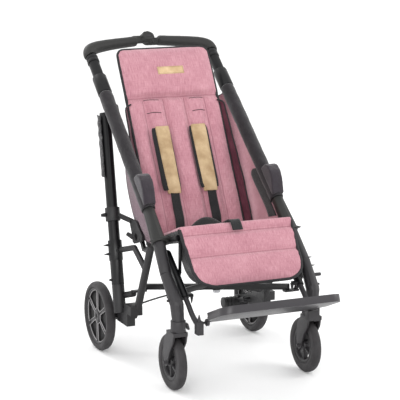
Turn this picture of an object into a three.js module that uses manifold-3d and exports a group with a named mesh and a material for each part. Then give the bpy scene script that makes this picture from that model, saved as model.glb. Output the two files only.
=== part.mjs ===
import * as THREE from "three";
import { mergeVertices } from "three/addons/utils/BufferGeometryUtils.js";
import Module from "manifold-3d";

const wasm = await Module();
wasm.setup();

// Folding tilt-in-space chair. Millimetres, Z up, origin on the floor at mid-width, the chair faces -Y.
// Each side frame lies in a plane of constant X, so a point of it is named by its Y and Z.

// Clearances
const gap = 0.3;
const running_gap = 0.6;
const pin_gap = 1;
const socket_gap = 1.8;
const cut_overrun = 4;
const weld = 0.001;

// Front casters
const caster_radius = 95;
const caster_width = 29;
const caster_rim_radius = 62;
const caster_web = 10;
const caster_hub_radius = 15;
const caster_axle_radius = 6;
const caster_half_track = 247;
const caster_axle_y = -245;
const swivel_y = -290;
const fork_plate = 6;
const fork_side_gap = 5;
const fork_crown_low = 195;
const fork_crown_high = 209;
const fork_crown_radius = 26;
const stem_radius = 9;
const stem_top = 232;
const axle_nut_radius = 8;
const axle_nut_length = 8;
const caster_spokes = 6;

// Rear wheels
const rear_radius = 123;
const rear_width = 33;
const rear_tyre_depth = 22;
const rear_rim_radius = rear_radius - rear_tyre_depth;
const rear_web = 15;
const rear_hub_radius = 20;
const rear_hub_length = 38;
const rear_axle_radius = 7;
const rear_half_track = 300;
const rear_axle_y = 287;
const rear_spokes = 6;

// Main tubes, from the leg joint up to the push handle
const main_foot_x = 241;
const main_foot_y = -29;
const main_foot_z = 562;
const main_lean = THREE.MathUtils.degToRad(50);
const main_splay = THREE.MathUtils.degToRad(-0.47);
const main_radius = 22;
const main_wall = 1.9;
const main_length = 604;
const main_tuck = 34;
const main_plug_radius = 13;
const sleeve_radius = 25;
const handle_clamp_length = 79;
const handle_clamp_overhang = 3;
const handle_clamp_to = main_length + handle_clamp_overhang;
const handle_clamp_from = handle_clamp_to - handle_clamp_length;
const sleeve_length = handle_clamp_from - running_gap;
const handle_clamp_radius = 25.5;
const handle_step_rise = 69;
const handle_step_to = handle_clamp_to + handle_step_rise;
const handle_tube_radius = 19.5;
const handle_tube_inside = 149;
const handle_tube_from = main_length - handle_tube_inside;
const handle_drop = 55;
const handle_pivot_rise = 23;
const handle_pivot_at = handle_step_to + handle_pivot_rise;
const handle_ball_radius = 22.5;
const handle_collar_length = 12;
const handle_collar_radius = 22;

// Push handle halves, named along the tube direction and across the chair
const grip_radius = 16.5;
const grip_root_radius = 21.5;
const grip_rise = 78;
const grip_crown_at = handle_pivot_at + grip_rise;
const grip_tongue_reach = 46;
const tongue_thick = 12;
const tongue_radius = 13;
const hub_cap_radius = 25;
const hub_cap_thick = 15;
const release_long = 22;
const release_wide = 11;
const release_depth = 5;
const release_travel = 2.2;

// Front legs
const joint_y = -130;
const joint_z = 468;
const knee_y = -210;
const knee_z = 382;
const knee_x = 256;
const elbow_x = 250;
const elbow_y = -285;
const elbow_z = 300;
const ankle_y = -289;
const ankle_z = 236;
const leg_x = 246;
const joint_radius = 25;
const joint_top_radius = 20;
const leg_top_radius = 21;
const knee_radius = 19;
const shin_radius = 23;
const ankle_radius = 20;
const bearing_low = 210;
const bearing_high = 246;
const bearing_radius = 25;
const tilt_pivot_y = -132;
const tilt_pivot_z = 480;
const tilt_pin_radius = 8;
const tilt_boss_radius = 15;
const tilt_pin_end_x = 232;

// Rear legs
const rear_leg_inset = 28;
const rear_leg_x = rear_half_track - rear_leg_inset;
const rear_leg_lean = THREE.MathUtils.degToRad(17.7);
const rear_leg_splay = THREE.MathUtils.degToRad(-2.8);
const rear_leg_y = 194;
const rear_leg_z = 342;
const rear_tube_radius = 20;
const rear_tube_low = 262;
const rear_tube_high = 838;
const rear_sleeve_low = 343;
const rear_sleeve_high = 410;
const rear_sleeve_radius = 25;
const cap_nut_radius = 7;
const cap_nut_reach = 18;
const cap_nut_high = 396;
const cap_nut_low = 366;
const small_nut_z = 280;
const round_knob_radius = 8;

// Rear housing with the brake box, axle barrel, side strut and brace bracket
const housing_radius = 22;
const housing_low = 168;
const box_back = 178;
const box_front = 82;
const box_low = 132;
const box_high = 190;
const box_inset = 23;
const box_width = 30;
const box_outer_x = rear_half_track - box_inset;
const box_inner_x = box_outer_x - box_width;
const barrel_radius = 21;
const barrel_inset = 21;
const barrel_length = 41;
const barrel_outer_x = rear_half_track - barrel_inset;
const barrel_inner_x = barrel_outer_x - barrel_length;
const strut_inset = 54;
const strut_x = rear_half_track - strut_inset;
const strut_top_y = -62;
const strut_top_z = 448;
const strut_low_y = 62;
const strut_low_z = 196;
const strut_radius = 13;
const stay_low_y = -15;
const stay_low_z = 352;
const stay_knee_y = 88;
const stay_knee_z = 409;
const stay_end_y = 168;
const stay_end_z = 386;
const stay_spread = 16;
const stay_radius = 10;
const tie_spread = 16;
const tie_x = strut_x + tie_spread;
const tie_y = 160;
const tie_z = 224;
const tie_radius = 11;

// Tilt collar that slides on the rear leg
const collar_z = 497;
const collar_height = 45;
const collar_radius = 26.5;
const collar_knob_reach = 16;
const boss_y = 112;
const boss_z = 440;
const boss_bore = 13;
const tilt_plate_size = 60;
const tilt_stub_y = 158;
const tilt_stub_z = 486;
const tilt_stub_radius = 9;
const tilt_lug_y = 170;
const tilt_lug_z = 440;
const tilt_lug_x = 239;
const boss_inner_x = 221;
const boss_outer_x = 231;

// Crossed braces
const hub_y = -51;
const brace_hub_z = 289;
const brace_height = 20;
const brace_width = 15;
const brace_pitch = 21;
const brace_tilt = 5;
const brace_rear_inset = 31;
const brace_rear_x = strut_x - brace_rear_inset;
const brace_rear_y = 98;
const brace_front_share = 0.94;
const brace_bolt_radius = 6;
const brace_eye_radius = 15;
const shelf_thick = 7;
const shelf_width = 26;
const lug_tie_x = 232;
const lug_tie_z = 366;
const lug_tie_y = -221;
const lug_tie_radius = 8;

// Seat
const seat_back_y = 93;
const seat_back_z = 433;
const ridge_y = -208;
const ridge_z = 541;
const ridge_half = 206;
const seat_front_setback = 19;
const seat_thick = 26;
const seat_crown = 7;
const rail_x = 208;
const rail_radius = 10;
const rail_front_setback = 24;
const rail_rear_overhang = 0;
const rail_eye_setback = 12;
const rail_eye_radius = 8;
const rail_eye_thick = 5;

// Calf pad
const calf_top_y = -203;
const calf_top_z = 538.6;
const calf_roll_y = -221;
const calf_roll_z = 509;
const calf_seam_y = -270;
const calf_seam_z = 445;
const calf_low_y = -340;
const calf_low_z = 361;
const calf_top_half = 207;
const calf_low_half = 196;
const calf_corner = 62;
const calf_thick = 16;
const calf_crown = 7;

// Back pad
const back_low_y = 82.1;
const back_low_z = 436.5;
const back_fold_y = 327;
const back_fold_z = 885;
const back_top_y = 417;
const back_top_z = 1044;
const back_half = 177;
const back_corner = 26;
const back_thick = 20;
const back_crown = 12;
const head_crown = 22;

// Harness
const shoulder_x = 70;
const shoulder_top_y = 252;
const shoulder_top_z = 797;
const shoulder_low_y = 139;
const shoulder_low_z = 579;
const shoulder_half = 25;
const shoulder_thick = 9;
const shoulder_back_top = 10.4;
const shoulder_back_low = 5.4;
const webbing_half = 15;
const webbing_thick = 2.4;
const strap_low_y = 88;
const strap_low_z = 492;
const strap_seat_y = 64;
const crotch_half = 19;
const crotch_back_y = -120;
const pelvic_half = 60;
const pelvic_depth = 44;
const pelvic_rise = 40;
const pelvic_y = 30;

// Side panels, named by shares of the way along the main tube
const panel_thick = 3;
const panel_length = 500;
const panel_depth = 180;
const panel_hem_inset = 14;
const panel_hem_drop = 22.05;
const panel_inner_x = 213;

// Leg-rest hangers and footrest
const hanger_x = 211;
const hanger_top_y = -118;
const hanger_top_z = 429;
const hanger_low_y = -268;
const hanger_low_z = 313;
const hanger_radius = 13;
const hanger_bore = 9.6;
const slider_radius = 9;
const slider_bend_y = -326;
const slider_bend_z = 266;
const slider_end_y = -368;
const slider_end_z = 246;
const slider_inside = 96;
const plate_pivot_y = -380;
const plate_pivot_z = 256;
const clamp_half = 10;
const clamp_low = 218;
const clamp_high = 262;
const clamp_front_y = -390;
const clamp_back_y = -362;
const spike_height = 22;
const pivot_pin_radius = 4;
const bracket_drop = 30;
const bracket_reach = 26;

// Footplate
const plate_slope = THREE.MathUtils.degToRad(22.5);
const plate_start = 16;
const plate_length = 192;
const plate_half = 213;
const plate_side_room = 13;
const plate_rear_half = hanger_x - clamp_half - plate_side_room;
const plate_waist = 60;
const plate_corner = 42;
const plate_thick = 8;
const plate_rim = 7;
const plate_rim_height = 25;
const plate_drop = 2;
const ear_thick = 8;
const ear_radius = 12;

// Brake pedal and cable
const pedal_pivot_y = 196;
const pedal_pivot_z = 150;
const pedal_bar_y = 262;
const pedal_bar_z = 125;
const pedal_bar_radius = 21;
const pedal_inset = 15;
const pedal_length = 60;
const pedal_outer_x = box_inner_x - pedal_inset;
const pedal_inner_x = pedal_outer_x - pedal_length;
const pedal_arm_half = 9;
const pedal_ribs = 4;
const cable_radius = 3;
const cable_end_x = strut_x - strut_radius - 3 * gap;
const cable_y = 92;
const cable_end_z = 204;
const cable_rise = 30;

// Caster locks
const lock_pivot_z = 234;
const lock_length = 21;
const lock_thick = 7;
const lock_half = 8;

// Rear-leg cover and arm pads
const cover_low = 625;
const cover_high = 832;
const cover_half = 13;
const cover_thick = 5;
const arm_from = 6;
const arm_to = 126;
const arm_half = 22;
const arm_rise = 66;

// Facet counts
const tube_sides = 12;
const small_sides = 8;
const wheel_sides = 24;
const cap_sides = 6;

const material = (color, roughness, metalness = 0) =>
  new THREE.MeshStandardMaterial({ color, roughness, metalness });
const black_metal = material(0x1d1d20, 0.38, 0.6);
const charcoal = material(0x3b393e, 0.55, 0.1);
const olive = material(0x2d2c2a, 0.5, 0.1);
const pink = material(0xd592a6, 0.92);
const plum = material(0x3b3540, 0.9);
const tan = material(0xc8a36f, 0.8);
const webbing = material(0x222323, 0.85);
const rubber = material(0x454247, 0.8);
const steel = material(0xbdbdc2, 0.3, 0.9);

const chair = new THREE.Group();
const vec = (x, y, z) => new THREE.Vector3(x, y, z);
const sides = { left: -1, right: 1 };

function solid(geometry) {
  const loose = geometry.index ? geometry.toNonIndexed() : geometry;
  const bare = new THREE.BufferGeometry();
  bare.setAttribute("position", loose.getAttribute("position"));
  const merged = mergeVertices(bare, weld);
  const vertProperties = new Float32Array(merged.attributes.position.array);
  const triVerts = new Uint32Array(merged.index.array);
  const made = new wasm.Manifold(new wasm.Mesh({ numProp: 3, vertProperties, triVerts }));
  if (made.volume() > 0) return made;
  for (let i = 0; i < triVerts.length; i += 3) {
    const first = triVerts[i];
    triVerts[i] = triVerts[i + 1];
    triVerts[i + 1] = first;
  }
  return new wasm.Manifold(new wasm.Mesh({ numProp: 3, vertProperties, triVerts }));
}

const join = (first, ...rest) => rest.reduce((all, one) => all.add(one), first);
const cut = (first, ...rest) => rest.reduce((all, one) => all.subtract(one), first);

function add(name, body, look) {
  const made = body.getMesh();
  const geometry = new THREE.BufferGeometry();
  geometry.setAttribute("position", new THREE.BufferAttribute(made.vertProperties, 3));
  geometry.setIndex(new THREE.BufferAttribute(made.triVerts, 1));
  const flat = geometry.toNonIndexed();
  flat.computeVertexNormals();
  const mesh = new THREE.Mesh(flat, look);
  mesh.name = name;
  chair.add(mesh);
}

// Straight round bar or cone from a to b
function rod(a, b, radius, end = radius, count = tube_sides) {
  const axis = b.clone().sub(a);
  const geometry = new THREE.CylinderGeometry(end, radius, axis.length(), count);
  const turn = new THREE.Quaternion().setFromUnitVectors(vec(0, 1, 0), axis.normalize());
  geometry.applyQuaternion(turn);
  const middle = a.clone().lerp(b, 0.5);
  geometry.translate(middle.x, middle.y, middle.z);
  return solid(geometry);
}

// Rectangular bar from a to b, `wide` along X-like side, `deep` across
function beam(a, b, side, wide, deep) {
  const axis = b.clone().sub(a);
  const length = axis.length();
  axis.normalize();
  const across = side.clone().addScaledVector(axis, -side.dot(axis)).normalize();
  const third = new THREE.Vector3().crossVectors(across, axis);
  const geometry = new THREE.BoxGeometry(wide, length, deep);
  geometry.applyMatrix4(new THREE.Matrix4().makeBasis(across, axis, third));
  const middle = a.clone().lerp(b, 0.5);
  geometry.translate(middle.x, middle.y, middle.z);
  return solid(geometry);
}

function block(x0, x1, y0, y1, z0, z1) {
  const geometry = new THREE.BoxGeometry(Math.abs(x1 - x0), Math.abs(y1 - y0), Math.abs(z1 - z0));
  geometry.translate((x0 + x1) / 2, (y0 + y1) / 2, (z0 + z1) / 2);
  return solid(geometry);
}

function ball(centre, radius, count = tube_sides) {
  const geometry = new THREE.SphereGeometry(radius, count, Math.ceil(count / 2));
  geometry.translate(centre.x, centre.y, centre.z);
  return solid(geometry);
}

// Outline in the Y-Z plane, made solid from x0 to x1
function slab(outline, x0, x1) {
  const shape = new THREE.Shape(outline.map(([y, z]) => new THREE.Vector2(y, z)));
  const depth = Math.abs(x1 - x0);
  const geometry = new THREE.ExtrudeGeometry(shape, { depth, bevelEnabled: false });
  geometry.applyMatrix4(new THREE.Matrix4().makeBasis(vec(0, 1, 0), vec(0, 0, 1), vec(1, 0, 0)));
  geometry.translate(Math.min(x0, x1), 0, 0);
  return solid(geometry);
}

// Round bar along a smooth curve through points
function bent(points, radius, steps, count = tube_sides) {
  const path = new THREE.CatmullRomCurve3(points, false, "centripetal");
  const ring = [];
  for (let i = 0; i < count; i++) {
    const angle = (i / count) * Math.PI * 2;
    ring.push(new THREE.Vector2(radius * Math.cos(angle), radius * Math.sin(angle)));
  }
  const shape = new THREE.Shape(ring);
  return solid(new THREE.ExtrudeGeometry(shape, { steps, extrudePath: path, bevelEnabled: false }));
}

// Round bar of changing thickness through smooth points that lie in one plane square to `side`
function loft(points, radii, side, steps, count) {
  const path = new THREE.CatmullRomCurve3(points, false, "centripetal");
  const rings = [];
  for (let i = 0; i <= steps; i++) {
    const share = i / steps;
    const along = share * (radii.length - 1);
    const from = Math.min(Math.floor(along), radii.length - 2);
    const radius = radii[from] + (radii[from + 1] - radii[from]) * (along - from);
    const centre = path.getPoint(share);
    const across = new THREE.Vector3().crossVectors(path.getTangent(share), side).normalize();
    const ring = [];
    for (let j = 0; j < count; j++) {
      const angle = (j / count) * Math.PI * 2;
      ring.push(centre.clone().addScaledVector(side, radius * Math.cos(angle)).addScaledVector(across,
        radius * Math.sin(angle)));
    }
    rings.push({ centre, ring });
  }
  const triangles = [];
  for (let j = 0; j < count; j++) {
    const k = (j + 1) % count;
    for (let i = 0; i < steps; i++) {
      const a = rings[i].ring;
      const b = rings[i + 1].ring;
      triangles.push(a[j], a[k], b[k], a[j], b[k], b[j]);
    }
    triangles.push(rings[0].centre, rings[0].ring[k], rings[0].ring[j]);
    triangles.push(rings[steps].centre, rings[steps].ring[j], rings[steps].ring[k]);
  }
  return solid(new THREE.BufferGeometry().setFromPoints(triangles));
}

// Ring or disc turned about the X axis at (y, z); profile in radius and x
function turned(profile, x, y, z, count = wheel_sides) {
  const geometry = new THREE.LatheGeometry(profile.map(([r, h]) => new THREE.Vector2(r, h)), count);
  geometry.rotateZ(-Math.PI / 2);
  geometry.translate(x, y, z);
  return solid(geometry);
}

// Closed body between two grids of points, row by row
function skin(top, bottom, long, wide) {
  const triangles = [];
  const quad = (a, b, c, d) => triangles.push(a, b, c, a, c, d);
  for (let i = 0; i + 1 < long; i++) {
    for (let j = 0; j + 1 < wide; j++) {
      const k = i * wide + j;
      quad(top[k], top[k + wide], top[k + wide + 1], top[k + 1]);
      quad(bottom[k], bottom[k + 1], bottom[k + wide + 1], bottom[k + wide]);
    }
  }
  const edge = [];
  for (let j = 0; j < wide; j++) edge.push(j);
  for (let i = 1; i < long; i++) edge.push(i * wide + wide - 1);
  for (let j = wide - 2; j >= 0; j--) edge.push((long - 1) * wide + j);
  for (let i = long - 2; i > 0; i--) edge.push(i * wide);
  edge.forEach((k, i) => {
    const next = edge[(i + 1) % edge.length];
    quad(top[k], top[next], bottom[next], bottom[k]);
  });
  return solid(new THREE.BufferGeometry().setFromPoints(triangles));
}

// Soft pad laid along a path in the Y-Z plane, with its own width, lift and under side
function pad({ path, half, lift, under, columns, rows }) {
  const curve = new THREE.CatmullRomCurve3(path.map(([y, z]) => vec(0, y, z)), false, "centripetal");
  const top = [];
  const bottom = [];
  for (const row of rows) {
    const at = curve.getPointAt(row);
    const run = curve.getTangentAt(row);
    const out = vec(0, run.z, -run.y);
    for (const column of columns) {
      const x = column * half(row);
      top.push(at.clone().addScaledVector(out, lift(column, row)).setX(x));
      bottom.push(at.clone().addScaledVector(out, -under(column, row)).setX(x));
    }
  }
  return skin(top, bottom, rows.length, columns.length);
}

const spread = (from, to, count) =>
  Array.from({ length: count }, (_, i) => from + ((to - from) * i) / (count - 1));

// Rounded crown over a pad, 0 at its edges and 1 in its middle
const crown = (column, row, power = 6) =>
  (1 - Math.abs(column) ** power) * (1 - Math.abs(2 * row - 1) ** (power * 2));

// A point of the main tube, `at` along it from its foot
const tube_run = vec(
  Math.sin(main_splay),
  Math.sin(main_lean) * Math.cos(main_splay),
  Math.cos(main_lean) * Math.cos(main_splay),
);
const tube_at = (s, at) =>
  vec(s * (main_foot_x + tube_run.x * at), main_foot_y + tube_run.y * at, main_foot_z + tube_run.z * at);
const tube_normal = vec(0, -Math.cos(main_lean), Math.sin(main_lean));

// A point of the rear leg at height z
const rear_at = (s, z) => vec(
  s * (rear_leg_x + (z - rear_leg_z) * Math.tan(rear_leg_splay)),
  rear_leg_y + (z - rear_leg_z) * Math.tan(rear_leg_lean),
  z,
);

// A point of the brace bar whose rear end is on side s; share 1 is its rear end, 0 the bolt it turns on
// in the plane of the braces, which tilt up towards the front by brace_tilt
const brace_end = (s, share) =>
  vec(s * brace_rear_x * share, hub_y + (brace_rear_y - hub_y) * share,
    brace_hub_z + (s * brace_pitch) / 2);

const brace_plane = (body) =>
  body.translate([0, -hub_y, -brace_hub_z]).rotate([-brace_tilt, 0, 0]).translate([0, hub_y, brace_hub_z]);
const brace_world = (point) =>
  point.clone().sub(vec(0, hub_y, brace_hub_z)).applyAxisAngle(vec(1, 0, 0),
    -THREE.MathUtils.degToRad(brace_tilt))
    .add(vec(0, hub_y, brace_hub_z));

function caster_wheel(s) {
  const x = s * caster_half_track;
  const half = caster_width / 2;
  const rim = caster_rim_radius;
  const out = caster_radius;
  const shoulder = half * 0.72;
  const tyre = [[rim, -half * 0.8], [out - 9 * half / 14, -half], [out - 2 * half / 14, -shoulder],
    [out, 0],
    [out - 2 * half / 14, shoulder], [out - 9 * half / 14, half], [rim, half * 0.8]];
  const inner = rim - caster_web;
  const hoop = turned([...tyre, [inner, half * 0.6], [inner, -half * 0.6], tyre[0]], x, caster_axle_y,
    caster_radius);
  const web = [];
  for (let i = 0; i < caster_spokes; i++) {
    const angle = (i * 2 * Math.PI) / caster_spokes;
    const tip = vec(x, caster_axle_y + Math.sin(angle) * (inner + caster_web / 2),
      caster_radius + Math.cos(angle) * (inner + caster_web / 2));
    web.push(beam(vec(x, caster_axle_y, caster_radius), tip, vec(1, 0, 0), caster_web, caster_web));
  }
  const hub = turned([[0, -half], [caster_hub_radius, -half], [caster_hub_radius, half], [0, half]],
    x, caster_axle_y, caster_radius, tube_sides);
  const bore = rod(vec(x - out, caster_axle_y, caster_radius), vec(x + out, caster_axle_y, caster_radius),
    caster_axle_radius + pin_gap, caster_axle_radius + pin_gap, small_sides);
  return cut(join(hoop, hub, ...web), bore);
}

const fork_arm_shares = [
  [-0.2, 1.12], [-0.12, 0.8], [0.12, 0.48], [0.28, 0.16], [0.34, -0.06], [0.47, -0.16],
  [0.61, -0.06], [0.68, 0.18], [0.69, 0.5], [0.62, 0.82], [0.46, 1.04], [0.2, 1.12],
];
function caster_fork(s) {
  const x = s * caster_half_track;
  const inside = caster_width / 2 + fork_side_gap;
  const outline = fork_arm_shares.map(([y, z]) =>
    [swivel_y + y * caster_radius, caster_radius + z * caster_radius]);
  const arms = [-1, 1].map((e) => slab(outline, x + e * inside, x + e * (inside + fork_plate)));
  const wide = inside + fork_plate;
  const crown_plate = block(x - wide, x + wide, swivel_y - fork_crown_radius * 0.8,
    swivel_y + fork_crown_radius * 1.5,
    fork_crown_low, fork_crown_high - gap);
  const stem = rod(vec(x, swivel_y, fork_crown_low), vec(x, swivel_y, stem_top), stem_radius);
  const reach = wide + axle_nut_length;
  const axle = rod(vec(x - wide, caster_axle_y, caster_radius), vec(x + wide, caster_axle_y, caster_radius),
    caster_axle_radius, caster_axle_radius, small_sides);
  const nuts = [-1, 1].map((e) => rod(vec(x + e * inside, caster_axle_y, caster_radius),
    vec(x + e * reach, caster_axle_y, caster_radius), axle_nut_radius, axle_nut_radius * 0.7, cap_sides));
  return join(crown_plate, ...arms, stem, axle, ...nuts);
}

function rear_rim(s) {
  const x = s * rear_half_track;
  const shape = new THREE.Shape();
  shape.absarc(0, 0, rear_rim_radius - gap, 0, Math.PI * 2);
  const inner = rear_hub_radius * 1.25;
  const outer = rear_rim_radius * 0.9;
  const pitch = (Math.PI * 2) / rear_spokes;
  for (let i = 0; i < rear_spokes; i++) {
    const from = i * pitch;
    const lean = i % 2 ? 1 : -1;
    const hole = new THREE.Path();
    const polar = (r, a) => [r * Math.cos(a), r * Math.sin(a)];
    hole.moveTo(...polar(inner, from + pitch * (0.5 + lean * 0.12)));
    for (const share of [0.12, 0.37, 0.62, 0.86]) hole.lineTo(...polar(outer, from + pitch * share));
    hole.closePath();
    shape.holes.push(hole);
  }
  const geometry = new THREE.ExtrudeGeometry(shape,
    { depth: rear_web, bevelEnabled: false, curveSegments: wheel_sides / 2 });
  geometry.translate(0, 0, -rear_web / 2);
  geometry.rotateY(Math.PI / 2);
  geometry.translate(x, rear_axle_y, rear_radius);
  const half = rear_hub_length / 2;
  const hub = turned([[0, -half], [rear_hub_radius, -half * 0.8], [rear_hub_radius, half * 0.8],
    [rear_hub_radius * 0.6, half], [0, half]],
    x, rear_axle_y, rear_radius, tube_sides);
  const bore = rod(vec(x - s * rear_hub_length, rear_axle_y, rear_radius),
    vec(x + s * half / 2, rear_axle_y, rear_radius),
    rear_axle_radius + pin_gap, rear_axle_radius + pin_gap, small_sides);
  return cut(join(solid(geometry), hub), bore);
}

function rear_tyre(s) {
  const half = rear_width / 2;
  const rim = rear_rim_radius;
  const out = rear_radius;
  const profile = [[rim, -half * 0.75], [rim + 6 * half / 16, -half],
    [out - 6 * half / 16, -half * 0.9], [out, -half * 0.35],
    [out, half * 0.35], [out - 6 * half / 16, half * 0.9], [rim + 6 * half / 16, half], [rim,
      half * 0.75], [rim, -half * 0.75]];
  return turned(profile, s * rear_half_track, rear_axle_y, rear_radius);
}

function main_tube(s) {
  const tube = rod(tube_at(s, 0), tube_at(s, main_length), main_radius);
  const plug = rod(tube_at(s, -main_tuck), tube_at(s, main_radius), main_plug_radius);
  const clamp = rod(tube_at(s, handle_clamp_from), tube_at(s, handle_clamp_to), handle_clamp_radius);
  const bore = rod(tube_at(s, handle_tube_from - handle_drop - cut_overrun),
    tube_at(s, handle_clamp_to + cut_overrun),
    main_radius - main_wall);
  return cut(join(tube, plug, clamp), bore);
}

function sleeve(s) {
  const outer = rod(tube_at(s, gap), tube_at(s, sleeve_length), sleeve_radius);
  return cut(outer, rod(tube_at(s, -cut_overrun), tube_at(s, sleeve_length + cut_overrun),
    main_radius + gap));
}

const arm_pad_shares = [[0, 0.2], [0, 0.42], [0.34, 0.85], [0.58, 1], [0.8, 0.96], [0.94, 0.76],
  [1, 0.42], [1, 0.2]];
function arm_pad(s) {
  const outline = arm_pad_shares.map(([along, up]) => {
    const point = tube_at(s, arm_from + (arm_to - arm_from) * along).addScaledVector(tube_normal,
      arm_rise * up);
    return [point.y, point.z];
  });
  const middle = tube_at(s, (arm_from + arm_to) / 2).x;
  const body = slab(outline, middle - arm_half, middle + arm_half);
  return cut(body, rod(tube_at(s, arm_from - sleeve_radius), tube_at(s, arm_to + sleeve_radius),
    sleeve_radius + gap));
}

function handle_tube(s) {
  const pivot = tube_at(s, handle_pivot_at);
  const bar = rod(tube_at(s, handle_tube_from), pivot, handle_tube_radius);
  const collar = rod(tube_at(s, handle_step_to), tube_at(s, handle_step_to + handle_collar_length),
    handle_collar_radius);
  return join(bar, collar, ball(pivot, handle_ball_radius));
}

const grip_shares = [
  [1, 0, 1], [1.01, 0.28, 1], [0.985, 0.5, 1], [0.9, 0.66, 0.96], [0.7, 0.8, 0.88], [0.45, 0.9,
    0.8], [0.195, 0.98, 0.77],
];
function handle_grip(s) {
  const pivot = tube_at(s, handle_pivot_at);
  const rise = grip_crown_at - handle_pivot_at;
  const path = grip_shares.map(([across, up]) =>
    tube_at(s, handle_pivot_at + rise * up).setX(pivot.x * across));
  const bar = loft(path, grip_shares.map((row) => row[2] * grip_root_radius), tube_normal, 20,
    small_sides + 2);
  const side = tube_normal.clone().multiplyScalar(s < 0 ? 1 : -1);
  const centre = tube_at(s, grip_crown_at).setX(0);
  const offset = side.clone().multiplyScalar(tongue_thick / 2 + gap / 2);
  const start = tube_at(s, grip_crown_at).setX(s * (grip_tongue_reach + grip_radius / 2)).add(offset);
  const tongue = beam(start, centre.clone().add(offset), tube_normal, tongue_thick, tongue_radius * 2);
  const low = centre.clone().addScaledVector(side, gap / 2);
  const eye = rod(low, low.clone().addScaledVector(side, tongue_thick), tongue_radius);
  return cut(join(bar, tongue, eye), ball(pivot, handle_ball_radius + socket_gap));
}

function handle_hub() {
  const centre = tube_at(-1, grip_crown_at).setX(0);
  const low = centre.clone().addScaledVector(tube_normal, tongue_thick + gap);
  const high = low.clone().addScaledVector(tube_normal, hub_cap_thick);
  const dome = rod(low, high, hub_cap_radius, hub_cap_radius * 0.72);
  const floor = high.clone().addScaledVector(tube_normal, -release_depth);
  const up = high.clone().addScaledVector(tube_normal, cut_overrun);
  const recess = beam(floor, up, vec(1, 0, 0), release_long + 2 * running_gap,
    release_wide + 2 * running_gap);
  return cut(dome, recess);
}

function handle_release() {
  const centre = tube_at(-1, grip_crown_at).setX(0);
  const top = tongue_thick + gap + hub_cap_thick;
  const low = centre.clone().addScaledVector(tube_normal, top - release_depth + gap + release_travel);
  const high = centre.clone().addScaledVector(tube_normal, top - gap);
  return beam(low, high, vec(1, 0, 0), release_long, release_wide);
}

function leg_joint(s) {
  const top = tube_at(s, -gap);
  const foot = vec(s * leg_x, joint_y, joint_z);
  const shell = rod(foot, top, joint_radius, joint_top_radius);
  const pivot = (x) => vec(s * x, tilt_pivot_y, tilt_pivot_z);
  const boss = rod(pivot(leg_x), pivot(rail_x + rail_radius + running_gap), tilt_boss_radius);
  const nut_from = leg_x + joint_radius - cap_nut_radius;
  const nut = rod(pivot(nut_from), pivot(nut_from + cap_nut_reach), cap_nut_radius, cap_nut_radius / 5,
    cap_sides);
  const bore = rod(tube_at(s, -main_tuck - gap), tube_at(s, cut_overrun), main_plug_radius + gap);
  const hole_radius = tilt_pin_radius + pin_gap;
  const pin_hole = rod(pivot(tilt_pin_end_x + gap), pivot(rail_x), hole_radius, hole_radius, small_sides);
  const lean = vec(s * (knee_x - leg_x), knee_y - joint_y, knee_z - joint_z).normalize();
  const leg_room = rod(foot, foot.clone().addScaledVector(lean, joint_radius * 2), joint_radius * 2);
  const tube_room = rod(top, tube_at(s, sleeve_radius), sleeve_radius * 1.2);
  return cut(join(shell, boss, nut), bore, pin_hole, leg_room, tube_room);
}

const leg_nut_shares = [[0.47, 1, 0.2], [0.61, 1.05, 0.2], [0.77, 1.5, 0.9], [0.93, 0.5, 0.6]];
function front_leg(s) {
  const place = (y, z) => vec(s * leg_x, y, z);
  const top = place(joint_y, joint_z);
  const knee = vec(s * knee_x, knee_y, knee_z);
  const elbow = vec(s * elbow_x, elbow_y, elbow_z);
  const lean = knee.clone().sub(top).normalize();
  const pin_room = rod(vec(s * tilt_pin_end_x, tilt_pivot_y, tilt_pivot_z).add(vec(s * gap, 0, 0)),
    vec(s * rail_x, tilt_pivot_y, tilt_pivot_z), tilt_boss_radius);
  const thigh = cut(rod(top.clone().addScaledVector(lean, gap), knee, leg_top_radius, knee_radius),
    pin_room);
  const calf = rod(knee, elbow, knee_radius, shin_radius);
  const shin = rod(elbow, place(ankle_y, ankle_z), shin_radius, ankle_radius);
  const swivel = (z) => vec(s * caster_half_track, swivel_y, z);
  const bearing = rod(swivel(bearing_low), swivel(bearing_high), bearing_radius);
  const bore = rod(swivel(bearing_low - cut_overrun), swivel(stem_top + running_gap),
    stem_radius + running_gap / 2);
  const end = brace_end(-s, -brace_front_share);
  const lug_top = end.z - brace_height / 2 - gap;
  const lug = brace_plane(block(s * (Math.abs(end.x) - shelf_width / 2), s * (lug_tie_x + lug_tie_radius),
    end.y - shelf_width / 2, end.y + shelf_width / 2, lug_top - shelf_thick, lug_top));
  const tie_foot = brace_world(vec(s * lug_tie_x, end.y, lug_top - shelf_thick / 2));
  const tie = rod(tie_foot, vec(s * knee_x, lug_tie_y, lug_tie_z), lug_tie_radius);
  const nuts = leg_nut_shares.filter((row) => s > 0 || row[0] > 0.9).map(([along, reach, point]) => {
    const at = top.clone().lerp(elbow, along);
    const out = at.clone().add(vec(s * (leg_top_radius + cap_nut_reach * reach), 0, 0));
    return rod(at, out, cap_nut_radius, cap_nut_radius * point, cap_sides);
  });
  return cut(join(thigh, calf, shin, ball(elbow, shin_radius), bearing, lug, tie, ...nuts), bore);
}

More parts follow.
